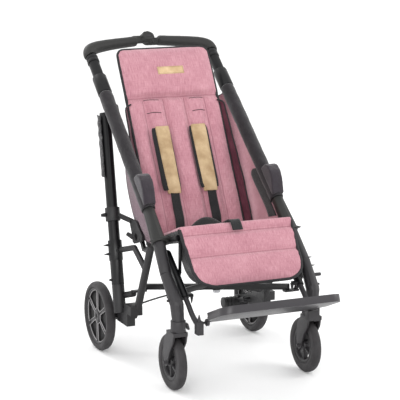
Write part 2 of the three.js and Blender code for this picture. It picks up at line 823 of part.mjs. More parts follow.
function rear_leg(s) {
  const tube = rod(rear_at(s, rear_tube_low), rear_at(s, rear_tube_high), rear_tube_radius);
  const cuff = rod(rear_at(s, rear_sleeve_low), rear_at(s, rear_sleeve_high), rear_sleeve_radius);
  const foot_ring = rod(rear_at(s, rear_tube_low), rear_at(s, rear_sleeve_low + cap_nut_radius),
    rear_tube_radius + 2 * gap + 2);
  const nuts = [];
  for (const z of [cap_nut_low, cap_nut_high]) {
    const at = rear_at(s, z);
    nuts.push(rod(at, at.clone().add(vec(s * (rear_sleeve_radius + cap_nut_reach), 0, 0)),
      cap_nut_radius * 1.6, cap_nut_radius / 6, cap_sides));
  }
  const low = rear_at(s, small_nut_z);
  nuts.push(rod(low, low.clone().add(vec(s * (rear_tube_radius + cap_nut_reach * 0.6), 0, 0)),
    cap_nut_radius, cap_nut_radius * 0.5, cap_sides));
  const inner = rear_at(s, (cap_nut_low + cap_nut_high) / 2);
  nuts.push(rod(inner, inner.clone().add(vec(0, -rear_sleeve_radius - cap_nut_reach / 2, 0)),
    round_knob_radius, round_knob_radius * 0.8, cap_sides));
  const saddle = rod(tube_at(s, 0), tube_at(s, sleeve_length), sleeve_radius + gap);
  return cut(join(tube, cuff, foot_ring, ...nuts), saddle);
}

function rear_housing(s) {
  const socket = rod(rear_at(s, housing_low), rear_at(s, rear_tube_low - gap), housing_radius);
  const box = block(s * box_inner_x, s * box_outer_x, box_front, box_back, box_low, box_high);
  const axle_at = (x) => vec(s * x, rear_axle_y, rear_radius);
  const barrel = rod(axle_at(barrel_inner_x), axle_at(barrel_outer_x), barrel_radius);
  const box_x = (box_inner_x + box_outer_x) / 2;
  const arm = beam(vec(s * box_x, box_back - pedal_arm_half, (box_low + box_high) / 2), axle_at(box_x),
    vec(1, 0, 0), box_outer_x - box_inner_x, barrel_radius * 1.5);
  const axle = rod(axle_at(barrel_inner_x), axle_at(rear_half_track + rear_hub_length / 4),
    rear_axle_radius, rear_axle_radius, small_sides);
  const place = (y, z) => vec(s * strut_x, y, z);
  const strut = rod(place(strut_low_y, strut_low_z), place(strut_top_y, strut_top_z), strut_radius);
  const foot = block(s * (strut_x - strut_radius), s * box_outer_x, strut_low_y - strut_radius,
    box_front + strut_radius * 2, box_high - strut_radius, strut_low_z + strut_radius);
  const stay_low = rod(place(stay_low_y, stay_low_z), place(stay_knee_y, stay_knee_z), stay_radius);
  const stay_high = rod(place(stay_knee_y, stay_knee_z),
    vec(s * (strut_x + stay_spread), stay_end_y, stay_end_z), stay_radius);
  const stay_bend = ball(place(stay_knee_y, stay_knee_z), stay_radius);
  const end = brace_end(s, 1);
  const shelf_top = end.z - brace_height / 2 - gap;
  const shelf = brace_plane(block(s * (brace_rear_x - shelf_width / 2), s * (strut_x + tie_radius / 2),
    end.y - shelf_width / 2, end.y + shelf_width / 2, shelf_top - shelf_thick, shelf_top));
  const tie_head = brace_world(vec(s * strut_x, end.y, shelf_top - tie_radius));
  const tie = rod(tie_head, vec(s * tie_x, tie_y, tie_z), tie_radius);
  const leg_room = rod(rear_at(s, rear_tube_low - gap), rear_at(s, rear_sleeve_high),
    rear_sleeve_radius + gap);
  const whole = join(socket, box, barrel, arm, axle, strut, foot, stay_low, stay_high, stay_bend, shelf,
    tie);
  const joint_room = rod(vec(s * leg_x, joint_y, joint_z), tube_at(s, 0), joint_radius + gap);
  const thigh_room = rod(vec(s * leg_x, joint_y, joint_z), vec(s * knee_x, knee_y, knee_z),
    leg_top_radius + gap);
  return cut(whole, leg_room, joint_room, thigh_room);
}

// Tilt plate outline around the seat boss, in shares of its size
const tilt_plate_shares = [
  [1, 0.75], [0.86, 0.87], [0.1, 0.92], [-0.12, 0.87], [-0.9, 0.25], [-0.9, -0.05], [0.25, -0.45], [0.5,
    -0.4],
  [0.62, 0.05],
];
function tilt_collar(s) {
  const low = rear_at(s, collar_z - collar_height / 2);
  const high = rear_at(s, collar_z + collar_height / 2);
  const ring = rod(low, high, collar_radius);
  const outline = tilt_plate_shares.map(([y, z]) => [boss_y + y * tilt_plate_size,
    boss_z + z * tilt_plate_size]);
  const plate = slab(outline, s * boss_inner_x, s * boss_outer_x);
  const plate_x = (boss_inner_x + boss_outer_x) / 2;
  const stub = rod(vec(s * plate_x, tilt_stub_y, tilt_stub_z),
    rear_at(s, collar_z).add(vec(-s * collar_radius / 2, -collar_radius / 2, 0)), tilt_stub_radius);
  const lug = rod(vec(s * plate_x, tilt_lug_y - tilt_plate_size / 3, tilt_lug_z - tilt_stub_radius),
    vec(s * tilt_lug_x, tilt_lug_y, tilt_lug_z), tilt_stub_radius, tilt_stub_radius * 0.8);
  const eye = rod(vec(s * (boss_inner_x - cut_overrun), boss_y, boss_z),
    vec(s * (boss_outer_x + cut_overrun), boss_y, boss_z), boss_bore);
  const bore = rod(rear_at(s, collar_z - collar_height), rear_at(s, collar_z + collar_height),
    rear_tube_radius + running_gap / 2);
  return cut(join(ring, plate, stub, lug), eye, bore);
}

function collar_knob(s) {
  const centre = rear_at(s, collar_z);
  const from = centre.clone().add(vec(s * (collar_radius + running_gap), 0, 0));
  const to = from.clone().add(vec(s * collar_knob_reach, 0, 0));
  return rod(from, to, round_knob_radius, round_knob_radius * 0.7, small_sides);
}

function brace_bar(s) {
  const rear = brace_end(s, 1);
  const front = brace_end(s, -brace_front_share);
  const middle = brace_end(s, 0);
  const half = vec(0, 0, brace_height / 2);
  const bar = beam(rear, front, vec(0, 0, 1), brace_height, brace_width);
  const eye = rod(middle.clone().sub(half), middle.clone().add(half), brace_eye_radius);
  const ends = [rear, front].map((end) => rod(end.clone().sub(half), end.clone().add(half),
    brace_width / 2));
  const bore_radius = brace_bolt_radius + pin_gap;
  const bore = rod(middle.clone().addScaledVector(half, 2), middle.clone().addScaledVector(half, -2),
    bore_radius, bore_radius, small_sides);
  return brace_plane(cut(join(bar, eye, ...ends), bore));
}

function brace_hub() {
  const top = brace_hub_z + brace_pitch / 2 + brace_height / 2 + running_gap;
  const low = brace_hub_z - brace_pitch / 2 - brace_height / 2 - running_gap;
  const bolt = rod(vec(0, hub_y, low), vec(0, hub_y, top), brace_bolt_radius, brace_bolt_radius,
    small_sides);
  const head = rod(vec(0, hub_y, top), vec(0, hub_y, top + brace_height / 2), brace_eye_radius,
    brace_eye_radius * 0.8, small_sides);
  const foot = rod(vec(0, hub_y, low - brace_height / 2), vec(0, hub_y, low), brace_eye_radius * 0.8,
    brace_eye_radius, small_sides);
  return brace_plane(join(bolt, head, foot));
}

const seat_run = vec(0, ridge_y - seat_back_y, ridge_z - seat_back_z).normalize();
const seat_out = vec(0, seat_run.z, -seat_run.y);
const rail_drop = seat_thick + rail_radius + gap;
const rail_front = vec(0, ridge_y, ridge_z).addScaledVector(seat_out, -rail_drop)
  .addScaledVector(seat_run, -rail_front_setback);
const leg_rest_pivot = rail_front.clone().addScaledVector(seat_run, -rail_eye_setback);

function seat_rail(s) {
  const front = rail_front.clone().setX(s * rail_x);
  const rear = vec(s * rail_x, seat_back_y, seat_back_z).addScaledVector(seat_out, -rail_drop)
    .addScaledVector(seat_run, -rail_rear_overhang);
  const tube = rod(rear, front, rail_radius);
  const pivot = vec(s * rail_x, tilt_pivot_y, tilt_pivot_z);
  const pin_end = vec(s * tilt_pin_end_x, tilt_pivot_y, tilt_pivot_z);
  const pin = rod(pivot, pin_end, tilt_pin_radius, tilt_pin_radius, small_sides);
  const lug = beam(pivot, pivot.clone().addScaledVector(seat_out, -rail_radius), vec(1, 0, 0),
    rail_radius * 1.5, rail_radius * 2.4);
  const plate_x = s * (rail_x + rail_radius * 0.4);
  const boss = vec(plate_x, boss_y, boss_z);
  const plate = beam(rear.clone().setX(plate_x), boss, vec(1, 0, 0), rail_radius, rail_radius * 2);
  const boss_pin = rod(boss, vec(s * (boss_inner_x + boss_outer_x) / 2, boss_y, boss_z),
    rail_radius / 2, rail_radius / 2, small_sides);
  return join(tube, pin, lug, plate, boss_pin);
}

function seat_cushion() {
  const front_y = ridge_y - seat_run.y * seat_front_setback;
  const front_z = ridge_z - seat_run.z * seat_front_setback;
  const path = [[seat_back_y, seat_back_z], [(seat_back_y + front_y) / 2, (seat_back_z + front_z) / 2],
    [front_y, front_z]];
  const rows = [0, 0.03, 0.1, 0.22, 0.36, 0.5, 0.64, 0.78, 0.88, 0.95, 0.985, 1];
  const columns = [-1, -0.975, -0.9, -0.75, -0.5, -0.25, 0, 0.25, 0.5, 0.75, 0.9, 0.975, 1];
  return pad({
    path, rows, columns,
    half: () => ridge_half,
    lift: (column, row) => (seat_crown / 2) * (crown(column, row) - 1),
    under: () => seat_thick,
  });
}

const rounded = (share, length, radius, half) => {
  const from_end = Math.min(share * length, radius);
  return half - radius + Math.sqrt(Math.max(radius * radius - (radius - from_end) ** 2, 0));
};

function calf_pad() {
  const path = [[calf_top_y, calf_top_z], [calf_roll_y, calf_roll_z], [calf_seam_y, calf_seam_z],
    [calf_low_y, calf_low_z]];
  const steps = path.slice(1).map(([y, z], i) => Math.hypot(y - path[i][0], z - path[i][1]));
  const long = steps.reduce((sum, step) => sum + step, 0);
  const roll = steps[0] / long;
  const seam = (steps[0] + steps[1]) / long;
  const corner = calf_corner / long;
  const near = calf_thick / 3 / long;
  const rows = [0, 0.02, roll * 0.45, roll - near, roll, roll + near, 0.24, 0.34, seam - near, seam,
    seam + near, 0.56, 0.66,
    1 - corner, 1 - corner * 0.7, 1 - corner
      * 0.42, 1 - corner * 0.2, 1 - corner * 0.07, 1 - corner * 0.015, 1];
  const columns = [-1, -0.97, -0.86, -0.6, -0.2, 0.2, 0.6, 0.86, 0.97, 1];
  const groove = (row, at) => Math.exp(-(((row - at) * long) ** 2) / calf_thick ** 2 * 4);
  const sewn = (row) => Math.max(groove(row, roll), groove(row, seam));
  const taper = (row) => calf_top_half + (calf_low_half - calf_top_half) * row;
  return pad({
    path, rows, columns,
    half: (row) => rounded(1 - row, long, calf_corner, taper(row)),
    lift: (column, row) => calf_crown * crown(column, row) * (1 - 0.8 * sewn(row)),
    under: (column, row) => calf_thick * (0.55 + 0.45 * crown(column, row, 8)),
  });
}

function back_pad() {
  const path = [[back_top_y, back_top_z], [back_fold_y, back_fold_z], [back_low_y, back_low_z]];
  const head = Math.hypot(back_top_y - back_fold_y, back_top_z - back_fold_z);
  const body = Math.hypot(back_fold_y - back_low_y, back_fold_z - back_low_z);
  const long = head + body;
  const fold = head / long;
  const corner = back_corner / long;
  const rows = [0, corner * 0.1, corner * 0.35, corner * 0.8, 0.09, 0.17, fold - 0.02, fold, fold + 0.02,
    0.36, 0.5, 0.64, 0.78, 0.9, 0.97, 0.99, 1];
  const channel_shares = [-0.62, -0.22, 0.22, 0.62];
  const columns = [-1, -0.97, -0.86, -0.68, -0.62, -0.56, -0.4, -0.28, -0.22, -0.16, 0,
    0.16, 0.22, 0.28, 0.4, 0.56, 0.62, 0.68, 0.86, 0.97, 1];
  const fold_groove = (row) => Math.exp(-(((row - fold) * long) ** 2) / back_thick ** 2 * 6);
  const channel = (column) =>
    Math.max(...channel_shares.map((c) => Math.exp(-(((column - c) / 0.035) ** 2))));
  return pad({
    path, rows, columns,
    half: (row) => rounded(row, long, back_corner, back_half),
    lift: (column, row) => {
      const rise = row < fold ? head_crown : back_crown;
      const dip = row < fold ? 0 : 0.8 * channel(column);
      return rise * crown(column, row) * (1 - 0.9 * fold_groove(row)) * (1 - dip);
    },
    under: (column, row) => back_thick * (0.55 + 0.45 * crown(column, row, 8)),
  });
}

// Flat strip along points, `half` wide on each side of X = x
function strip(x, points, half, thick, side = vec(1, 0, 0)) {
  const pieces = [];
  for (let i = 0; i + 1 < points.length; i++) {
    const a = vec(x, ...points[i]);
    const b = vec(x, ...points[i + 1]);
    pieces.push(beam(a, b, side, half * 2, thick));
    if (i) pieces.push(rod(a.clone().add(vec(-half, 0, 0)), a.clone().add(vec(half, 0, 0)), thick / 2,
      thick / 2, small_sides));
  }
  return join(...pieces);
}

const back_out = vec(0, back_low_z - back_top_z, back_top_y - back_low_y).normalize();

function shoulder_pad(s) {
  const path = [[shoulder_top_y, shoulder_top_z],
    [(shoulder_top_y + shoulder_low_y) / 2, (shoulder_top_z + shoulder_low_z) / 2],
    [shoulder_low_y, shoulder_low_z]];
  const body = pad({
    path,
    rows: [0, 0.03, 0.12, 0.3, 0.5, 0.7, 0.88, 0.97, 1],
    columns: [-1, -0.9, -0.6, -0.2, 0.2, 0.6, 0.9, 1],
    half: () => shoulder_half,
    lift: (column, row) => shoulder_thick * 0.45 * crown(column, row),
    under: (column, row) => shoulder_back_top + (shoulder_back_low - shoulder_back_top) * row,
  });
  return body.translate([s * shoulder_x, 0, 0]);
}

function shoulder_strap(s) {
  const seat_share = (strap_seat_y - seat_back_y) / (ridge_y - seat_back_y);
  const seat_z = seat_back_z + (ridge_z - seat_back_z) * seat_share;
  const lower = [[shoulder_low_y, shoulder_low_z - gap * 3], [strap_low_y, strap_low_z],
    [strap_seat_y, seat_z + gap]];
  return strip(s * shoulder_x, lower, webbing_half, webbing_thick);
}

function crotch_strap() {
  const raise = webbing_thick / 2 + gap;
  const on_seat = (y) => {
    const share = (y - seat_back_y) / (ridge_y - seat_back_y);
    const z = seat_back_z + (ridge_z - seat_back_z) * share;
    return [y + seat_out.y * raise, z + seat_out.z * raise];
  };
  const over = calf_crown + raise;
  const roll_run = vec(0, calf_roll_y - calf_top_y, calf_roll_z - calf_top_z).normalize();
  const on_roll = (y, z) => [y + roll_run.z * over, z - roll_run.y * over];
  const path = [on_seat(crotch_back_y), on_seat(ridge_y), on_roll(calf_top_y, calf_top_z),
    on_roll(calf_roll_y, calf_roll_z)];
  return strip(0, path, crotch_half, webbing_thick);
}

function pelvic_pad() {
  const share = (pelvic_y - seat_back_y) / (ridge_y - seat_back_y);
  const z = seat_back_z + (ridge_z - seat_back_z) * share;
  const path = [[pelvic_y + pelvic_depth / 2, z - pelvic_depth / 2 * 0.345], [pelvic_y, z],
    [pelvic_y - pelvic_depth / 2, z + pelvic_depth / 2 * 0.345]];
  const body = pad({
    path,
    rows: spread(0, 1, 6),
    columns: spread(-1, 1, 9),
    half: () => pelvic_half,
    lift: (column, row) => gap * 4 + pelvic_rise
      * (1 - column * column) * (1 - (2 * row - 1) ** 2 * 0.7) + gap,
    under: () => -gap * 2 - gap,
  });
  return body;
}

// Side panel rows, from its top to its foot: place on the main tube, then place and depth of its free edge,
// as shares of the panel's length and depth
const panel_shares = [
  [1, 0.996, 0.19], [0.88, 0.88, 0.345], [0.74, 0.772, 0.46], [0.57, 0.61, 0.645], [0.41, 0.46, 0.81],
  [0.27, 0.278, 0.945], [0.155, 0.152, 1], [0.075, 0.03, 0.945], [0.03, -0.06, 0.69],
];
function side_panel(s) {
  const columns = 5;
  const top = [];
  const bottom = [];
  const rows = panel_shares.length;
  for (const [held, free, depth] of panel_shares) {
    const a = tube_at(s, held * panel_length).addScaledVector(tube_normal, -panel_hem_drop);
    a.setX(a.x - s * panel_hem_inset);
    const b = tube_at(s, free * panel_length).addScaledVector(tube_normal, -panel_depth * depth);
    b.setX(s * panel_inner_x);
    for (let j = 0; j < columns; j++) {
      const share = j / (columns - 1);
      const point = a.clone().lerp(b, share);
      const lift = panel_thick / 2 + Math.sin(Math.PI * share) * panel_thick * 0.6;
      top.push(point.clone().add(vec(s * lift, 0, 0)));
      bottom.push(point.clone().add(vec(s * (lift - panel_thick), 0, 0)));
    }
  }
  return skin(top, bottom, rows, columns);
}

function hanger(s) {
  const top = vec(s * hanger_x, hanger_top_y, hanger_top_z);
  const low = vec(s * hanger_x, hanger_low_y, hanger_low_z);
  const tube = rod(low, top, hanger_radius);
  const cap = ball(top, hanger_radius);
  const run = low.clone().sub(top).normalize();
  const bore = rod(top.clone().lerp(low, 0.2), low.clone().addScaledVector(run, cut_overrun),
    hanger_bore, hanger_bore, small_sides);
  const inner_x = rail_x - rail_radius - gap - rail_eye_thick / 2;
  const pivot = leg_rest_pivot.clone().setX(s * inner_x);
  const half_eye = vec(rail_eye_thick / 2, 0, 0);
  const eye = rod(pivot.clone().sub(half_eye), pivot.clone().add(half_eye), rail_eye_radius);
  const hold = top.clone().lerp(low, 0.45);
  const to = hold.clone().setX(s * inner_x);
  const plate = beam(pivot, to, vec(1, 0, 0), rail_eye_thick, rail_eye_radius * 2);
  const tie = rod(to, hold, hanger_radius * 0.8, hanger_radius * 0.8, small_sides);
  const foot = top.clone().lerp(low, 0.94);
  const shelf = foot.clone().add(vec(-s * bracket_reach, 0, 0));
  const bracket = beam(foot, shelf, vec(0, 0, 1), rail_radius, rail_radius * 2);
  const cone = rod(shelf, shelf.clone().add(vec(0, 0, -bracket_drop)), cap_nut_radius,
    cap_nut_radius / 6, cap_sides);
  return cut(join(tube, cap, eye, plate, tie, bracket, cone), bore);
}

function hanger_tube(s) {
  const top = vec(s * hanger_x, hanger_top_y, hanger_top_z);
  const low = vec(s * hanger_x, hanger_low_y, hanger_low_z);
  const run = low.clone().sub(top).normalize();
  const start = low.clone().addScaledVector(run, -slider_inside);
  const straight = rod(start, low.clone().addScaledVector(run, slider_radius * 2), slider_radius,
    slider_radius, small_sides);
  const bend = [low.clone().addScaledVector(run, slider_radius),
    low.clone().addScaledVector(run, slider_radius * 3),
    vec(s * hanger_x, slider_bend_y, slider_bend_z), vec(s * hanger_x, slider_end_y, slider_end_z)];
  const tail = bent(bend, slider_radius, 6, small_sides);
  const clamp = block(s * (hanger_x - clamp_half), s * (hanger_x + clamp_half), clamp_front_y,
    clamp_back_y, clamp_low, clamp_high);
  const pieces = [straight, tail, clamp];
  const inner = plate_rear_half - ear_thick - gap;
  if (s < 0) {
    const spike_at = vec(s * hanger_x, (clamp_front_y + clamp_back_y) / 2, clamp_high - gap);
    pieces.push(rod(spike_at, spike_at.clone().add(vec(0, 0, spike_height)), cap_nut_radius,
      cap_nut_radius / 6, cap_sides));
    pieces.push(rod(vec(s * hanger_x, plate_pivot_y, plate_pivot_z),
      vec(s * inner, plate_pivot_y, plate_pivot_z), pivot_pin_radius, pivot_pin_radius, small_sides));
  } else {
    const shelf_top = plate_pivot_z + plate_start
      * Math.sin(plate_slope) - plate_drop * Math.cos(plate_slope) - gap;
    pieces.push(block(s * hanger_x, s * (inner - ear_thick), clamp_front_y - plate_start,
      clamp_front_y + clamp_half,
      clamp_low + clamp_half, shelf_top));
  }
  return join(...pieces);
}

function footplate() {
  const shape = new THREE.Shape();
  const end = plate_start + plate_length;
  const half = plate_half;
  shape.moveTo(-plate_rear_half, plate_start);
  shape.lineTo(plate_rear_half, plate_start);
  shape.lineTo(plate_rear_half, plate_start + plate_waist * 0.5);
  shape.lineTo(half, plate_start + plate_waist);
  shape.lineTo(half, end - plate_corner);
  shape.absarc(half - plate_corner, end - plate_corner, plate_corner, 0, Math.PI / 2);
  shape.absarc(-half + plate_corner, end - plate_corner, plate_corner, Math.PI / 2, Math.PI);
  shape.lineTo(-half, plate_start + plate_waist);
  shape.lineTo(-plate_rear_half, plate_start + plate_waist * 0.5);
  shape.closePath();
  const tray = solid(new THREE.ExtrudeGeometry(shape,
    { depth: plate_rim_height, bevelEnabled: false, curveSegments: 5 }));
  const inner = new THREE.Shape();
  const in_half = half - plate_rim;
  const in_end = end - plate_rim;
  const in_corner = plate_corner - plate_rim;
  inner.moveTo(-plate_rear_half + plate_rim, plate_start - cut_overrun);
  inner.lineTo(plate_rear_half - plate_rim, plate_start - cut_overrun);
  inner.lineTo(plate_rear_half - plate_rim, plate_start + plate_waist * 0.5);
  inner.lineTo(in_half, plate_start + plate_waist);
  inner.lineTo(in_half, in_end - in_corner);
  inner.absarc(in_half - in_corner, in_end - in_corner, in_corner, 0, Math.PI / 2);
  inner.absarc(-in_half + in_corner, in_end - in_corner, in_corner, Math.PI / 2, Math.PI);
  inner.lineTo(-in_half, plate_start + plate_waist);
  inner.lineTo(-plate_rear_half + plate_rim, plate_start + plate_waist * 0.5);
  inner.closePath();
  const well = solid(new THREE.ExtrudeGeometry(inner,
    { depth: plate_rim_height, bevelEnabled: false, curveSegments: 5 }));
  const hollow = well.translate([0, 0, plate_thick]);
  const trim_low = solid(new THREE.BoxGeometry(plate_half * 3, plate_length * 2, plate_rim_height * 2));
  const dip = Math.atan2(plate_rim_height - plate_thick, plate_length * 0.55);
  const trim_turn = trim_low.rotate([THREE.MathUtils.radToDeg(dip), 0, 0]);
  const rise = plate_rim_height + plate_thick * 0.5;
  const trim = trim_turn.translate([0, plate_start - plate_length * 0.42, rise + plate_rim_height * 0.02]);
  const local = cut(tray, hollow, trim);
  const ear_x = plate_rear_half - ear_thick / 2;
  const ear = solid(new THREE.BoxGeometry(ear_thick, plate_start + ear_radius,
    plate_thick)).translate([ear_x, (plate_start + ear_radius) / 2, plate_thick / 2]);
  const eye = rod(vec(ear_x - ear_thick / 2, 0, plate_drop), vec(ear_x + ear_thick / 2, 0, plate_drop),
    ear_radius);
  const pin_room = rod(vec(ear_x - ear_thick, 0, plate_drop), vec(ear_x + ear_thick, 0, plate_drop),
    pivot_pin_radius + running_gap, pivot_pin_radius + running_gap, small_sides);
  const built = cut(join(local, ear, eye), pin_room).translate([0, 0, -plate_drop]);
  const facing = built.rotate([0, 0, 180]);
  const tipped = facing.rotate([-THREE.MathUtils.radToDeg(plate_slope), 0, 0]);
  return tipped.translate([0, plate_pivot_y, plate_pivot_z]);
}

function brake_pedal(s) {
  const inner = s * pedal_inner_x;
  const outer = s * pedal_outer_x;
  const bar = rod(vec(inner, pedal_bar_y, pedal_bar_z), vec(outer, pedal_bar_y, pedal_bar_z),
    pedal_bar_radius * 0.8);
  const ribs = [];
  const pitch = (pedal_outer_x - pedal_inner_x) / pedal_ribs;
  for (let i = 0; i < pedal_ribs; i++) {
    const x = s * (pedal_inner_x + pitch * i);
    ribs.push(rod(vec(x, pedal_bar_y, pedal_bar_z), vec(x + s * pitch * 0.55, pedal_bar_y, pedal_bar_z),
      pedal_bar_radius));
  }
  const arm_x = s * (pedal_outer_x - pedal_arm_half / 2);
  const arm = beam(vec(arm_x, pedal_pivot_y, pedal_pivot_z), vec(arm_x, pedal_bar_y, pedal_bar_z),
    vec(1, 0, 0), pedal_arm_half, pedal_arm_half * 2);
  const pin = rod(vec(arm_x, pedal_pivot_y, pedal_pivot_z),
    vec(s * (box_inner_x - gap), pedal_pivot_y,
      pedal_pivot_z), pivot_pin_radius * 1.5, pivot_pin_radius * 1.5, small_sides);
  return join(bar, ...ribs, arm, pin);
}

function brake_cable() {
  const points = [];
  const count = 13;
  for (let i = 0; i < count; i++) {
    const share = (2 * i) / (count - 1) - 1;
    points.push(vec(share * cable_end_x, cable_y, cable_end_z + cable_rise * (1 - share * share)));
  }
  return bent(points, cable_radius, 16, 6);
}

function caster_lock(s) {
  const inner = s * (caster_half_track - bearing_radius - gap);
  const foot = vec(inner - s * lock_thick / 2, swivel_y, lock_pivot_z);
  const tip = vec(inner - s * (lock_thick / 2 + lock_thick), swivel_y, lock_pivot_z - lock_length);
  return beam(foot, tip, vec(0, 1, 0), lock_half * 2, lock_thick);
}

function leg_cover(s) {
  const out = vec(s * (rear_tube_radius + gap + cover_thick / 2), 0, 0);
  return beam(rear_at(s, cover_low).add(out), rear_at(s, cover_high).add(out), vec(0, 1, 0),
    cover_half * 2, cover_thick);
}

for (const [name, s] of Object.entries(sides)) {
  add(`${name}_main_tube`, main_tube(s), black_metal);
  add(`${name}_tube_sleeve`, sleeve(s), plum);
  add(`${name}_arm_pad`, arm_pad(s), plum);
  add(`${name}_leg_joint`, leg_joint(s), olive);
  add(`${name}_front_leg`, front_leg(s), charcoal);
  add(`${name}_rear_leg`, rear_leg(s), black_metal);
  add(`${name}_rear_housing`, rear_housing(s), charcoal);
  add(`${name}_tilt_collar`, tilt_collar(s), black_metal);
  add(`${name}_collar_knob`, collar_knob(s), black_metal);
  add(`${name}_seat_rail`, seat_rail(s), black_metal);
  add(`${name}_hanger`, hanger(s), black_metal);
  add(`${name}_hanger_tube`, hanger_tube(s), charcoal);
  add(`${name}_handle_tube`, handle_tube(s), black_metal);
  add(`${name}_handle_grip`, handle_grip(s), black_metal);
  add(`${name}_side_panel`, side_panel(s), pink);
  add(`${name}_caster_fork`, caster_fork(s), charcoal);
  add(`${name}_caster_wheel`, caster_wheel(s), rubber);
  add(`${name}_caster_lock`, caster_lock(s), charcoal);
  add(`${name}_rear_rim`, rear_rim(s), charcoal);
  add(`${name}_rear_tyre`, rear_tyre(s), rubber);
  add(`${name}_brake_pedal`, brake_pedal(s), rubber);
  add(`${name}_shoulder_pad`, shoulder_pad(s), tan);
  add(`${name}_shoulder_strap`, shoulder_strap(s), webbing);
}
add("left_leg_cover", leg_cover(-1), webbing);
add("handle_hub", handle_hub(), black_metal);
add("handle_release", handle_release(), black_metal);
add("brace_hub", brace_hub(), steel);
add("brace_bar_lower", brace_bar(-1), black_metal);
add("brace_bar_upper", brace_bar(1), black_metal);
add("seat_cushion", seat_cushion(), pink);
add("calf_pad", calf_pad(), pink);
add("back_pad", back_pad(), pink);
add("crotch_strap", crotch_strap(), webbing);
add("pelvic_pad", pelvic_pad(), webbing);
add("footplate", footplate(), charcoal);
add("brake_cable", brake_cable(), black_metal);

export default chair;
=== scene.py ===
"""The looks of a folding chair whose seat tilts in space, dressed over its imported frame.

Metres, Z up, the chair faces -Y. Side s is -1 on the left of the frame's X axis and 1 on the right.
"""
import math

import bmesh
import bpy
import numpy as np
from mathutils import Matrix, Vector, noise


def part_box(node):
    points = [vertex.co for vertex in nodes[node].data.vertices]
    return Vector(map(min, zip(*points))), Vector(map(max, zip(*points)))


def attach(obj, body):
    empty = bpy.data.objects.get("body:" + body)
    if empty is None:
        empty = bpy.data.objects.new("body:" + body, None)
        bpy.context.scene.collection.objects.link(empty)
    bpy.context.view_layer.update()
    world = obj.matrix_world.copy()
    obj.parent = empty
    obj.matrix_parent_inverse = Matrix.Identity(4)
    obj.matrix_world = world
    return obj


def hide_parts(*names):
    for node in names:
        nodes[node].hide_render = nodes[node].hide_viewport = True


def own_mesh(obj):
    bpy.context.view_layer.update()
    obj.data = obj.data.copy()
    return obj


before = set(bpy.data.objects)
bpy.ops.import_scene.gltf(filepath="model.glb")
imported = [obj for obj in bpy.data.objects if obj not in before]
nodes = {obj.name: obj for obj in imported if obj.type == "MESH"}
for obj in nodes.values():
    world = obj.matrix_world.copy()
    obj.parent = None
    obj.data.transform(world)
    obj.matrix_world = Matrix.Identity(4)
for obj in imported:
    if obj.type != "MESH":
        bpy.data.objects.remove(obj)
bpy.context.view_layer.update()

SIDES = {"left": -1, "right": 1}
ACROSS = Vector((1, 0, 0))

# Lines that the dressed pieces share with the frame
TUBE_FOOT = Vector((0.241, -0.029, 0.562))
TUBE_RUN = Vector((-0.0082, 0.76602, 0.64277))
TUBE_OUT = Vector((0, -0.64279, 0.76604))
BACK_LOW = Vector((0, 0.0821, 0.4365))
BACK_FOLD = Vector((0, 0.327, 0.885))
BACK_TOP = Vector((0, 0.417, 1.044))
SEAT_REAR = Vector((0, 0.093, 0.433))
SEAT_RIDGE = Vector((0, -0.208, 0.541))
CALF_PATH = [Vector((0, y, z)) for y, z in
             [(-0.203, 0.5386), (-0.221, 0.509), (-0.270, 0.445), (-0.340, 0.361)]]
BACK_RUN = (BACK_FOLD - BACK_LOW).normalized()
BACK_OUT = ACROSS.cross(BACK_RUN)
HEAD_RUN = (BACK_TOP - BACK_FOLD).normalized()


def mirror(spot, s):
    """A place of the right hand side, moved to side s."""
    return Vector((spot.x * s, spot.y, spot.z))


def tube_at(s, at):
    """A point on the axis of a main tube, at metres up from its foot."""
    return mirror(TUBE_FOOT + TUBE_RUN * at, s)


def rear_at(s, z):
    """A point on the axis of a rear leg at height z."""
    rise = z - 0.342
    return Vector((s * (0.272 - rise * 0.04891), 0.194 + rise * 0.31914, z))


# ---------------------------------------------------------------- finishes


class Wire:
    """A socket of a finish; sums on it become the finish's own nodes."""

    def __init__(self, finish, socket):
        self.finish, self.socket = finish, socket

    def maths(self, operation, *values):
        return self.finish.node("ShaderNodeMath", {"operation": operation}, values)

    def __add__(self, other):
        return self.maths("ADD", self, other)

    def __sub__(self, other):
        return self.maths("SUBTRACT", self, other)

    def __rsub__(self, other):
        return self.maths("SUBTRACT", other, self)

    def __mul__(self, other):
        return self.maths("MULTIPLY", self, other)

    def __truediv__(self, other):
        return self.maths("DIVIDE", self, other)

    __radd__, __rmul__ = __add__, __mul__

    def wave(self, pitch):
        return self.maths("SINE", self * (2 * math.pi / pitch))

    def size(self):
        return self.maths("ABSOLUTE", self)

    def over(self, low, high):
        """0 below low and 1 above high, smooth between them."""
        settings = {"interpolation_type": "SMOOTHSTEP"}
        return self.finish.node("ShaderNodeMapRange", settings, {0: self, 1: low, 2: high})

    def near(self, value, width):
        """1 on a value and 0 a width away from it."""
        return 1 - (self - value).size().over(width * 0.5, width)


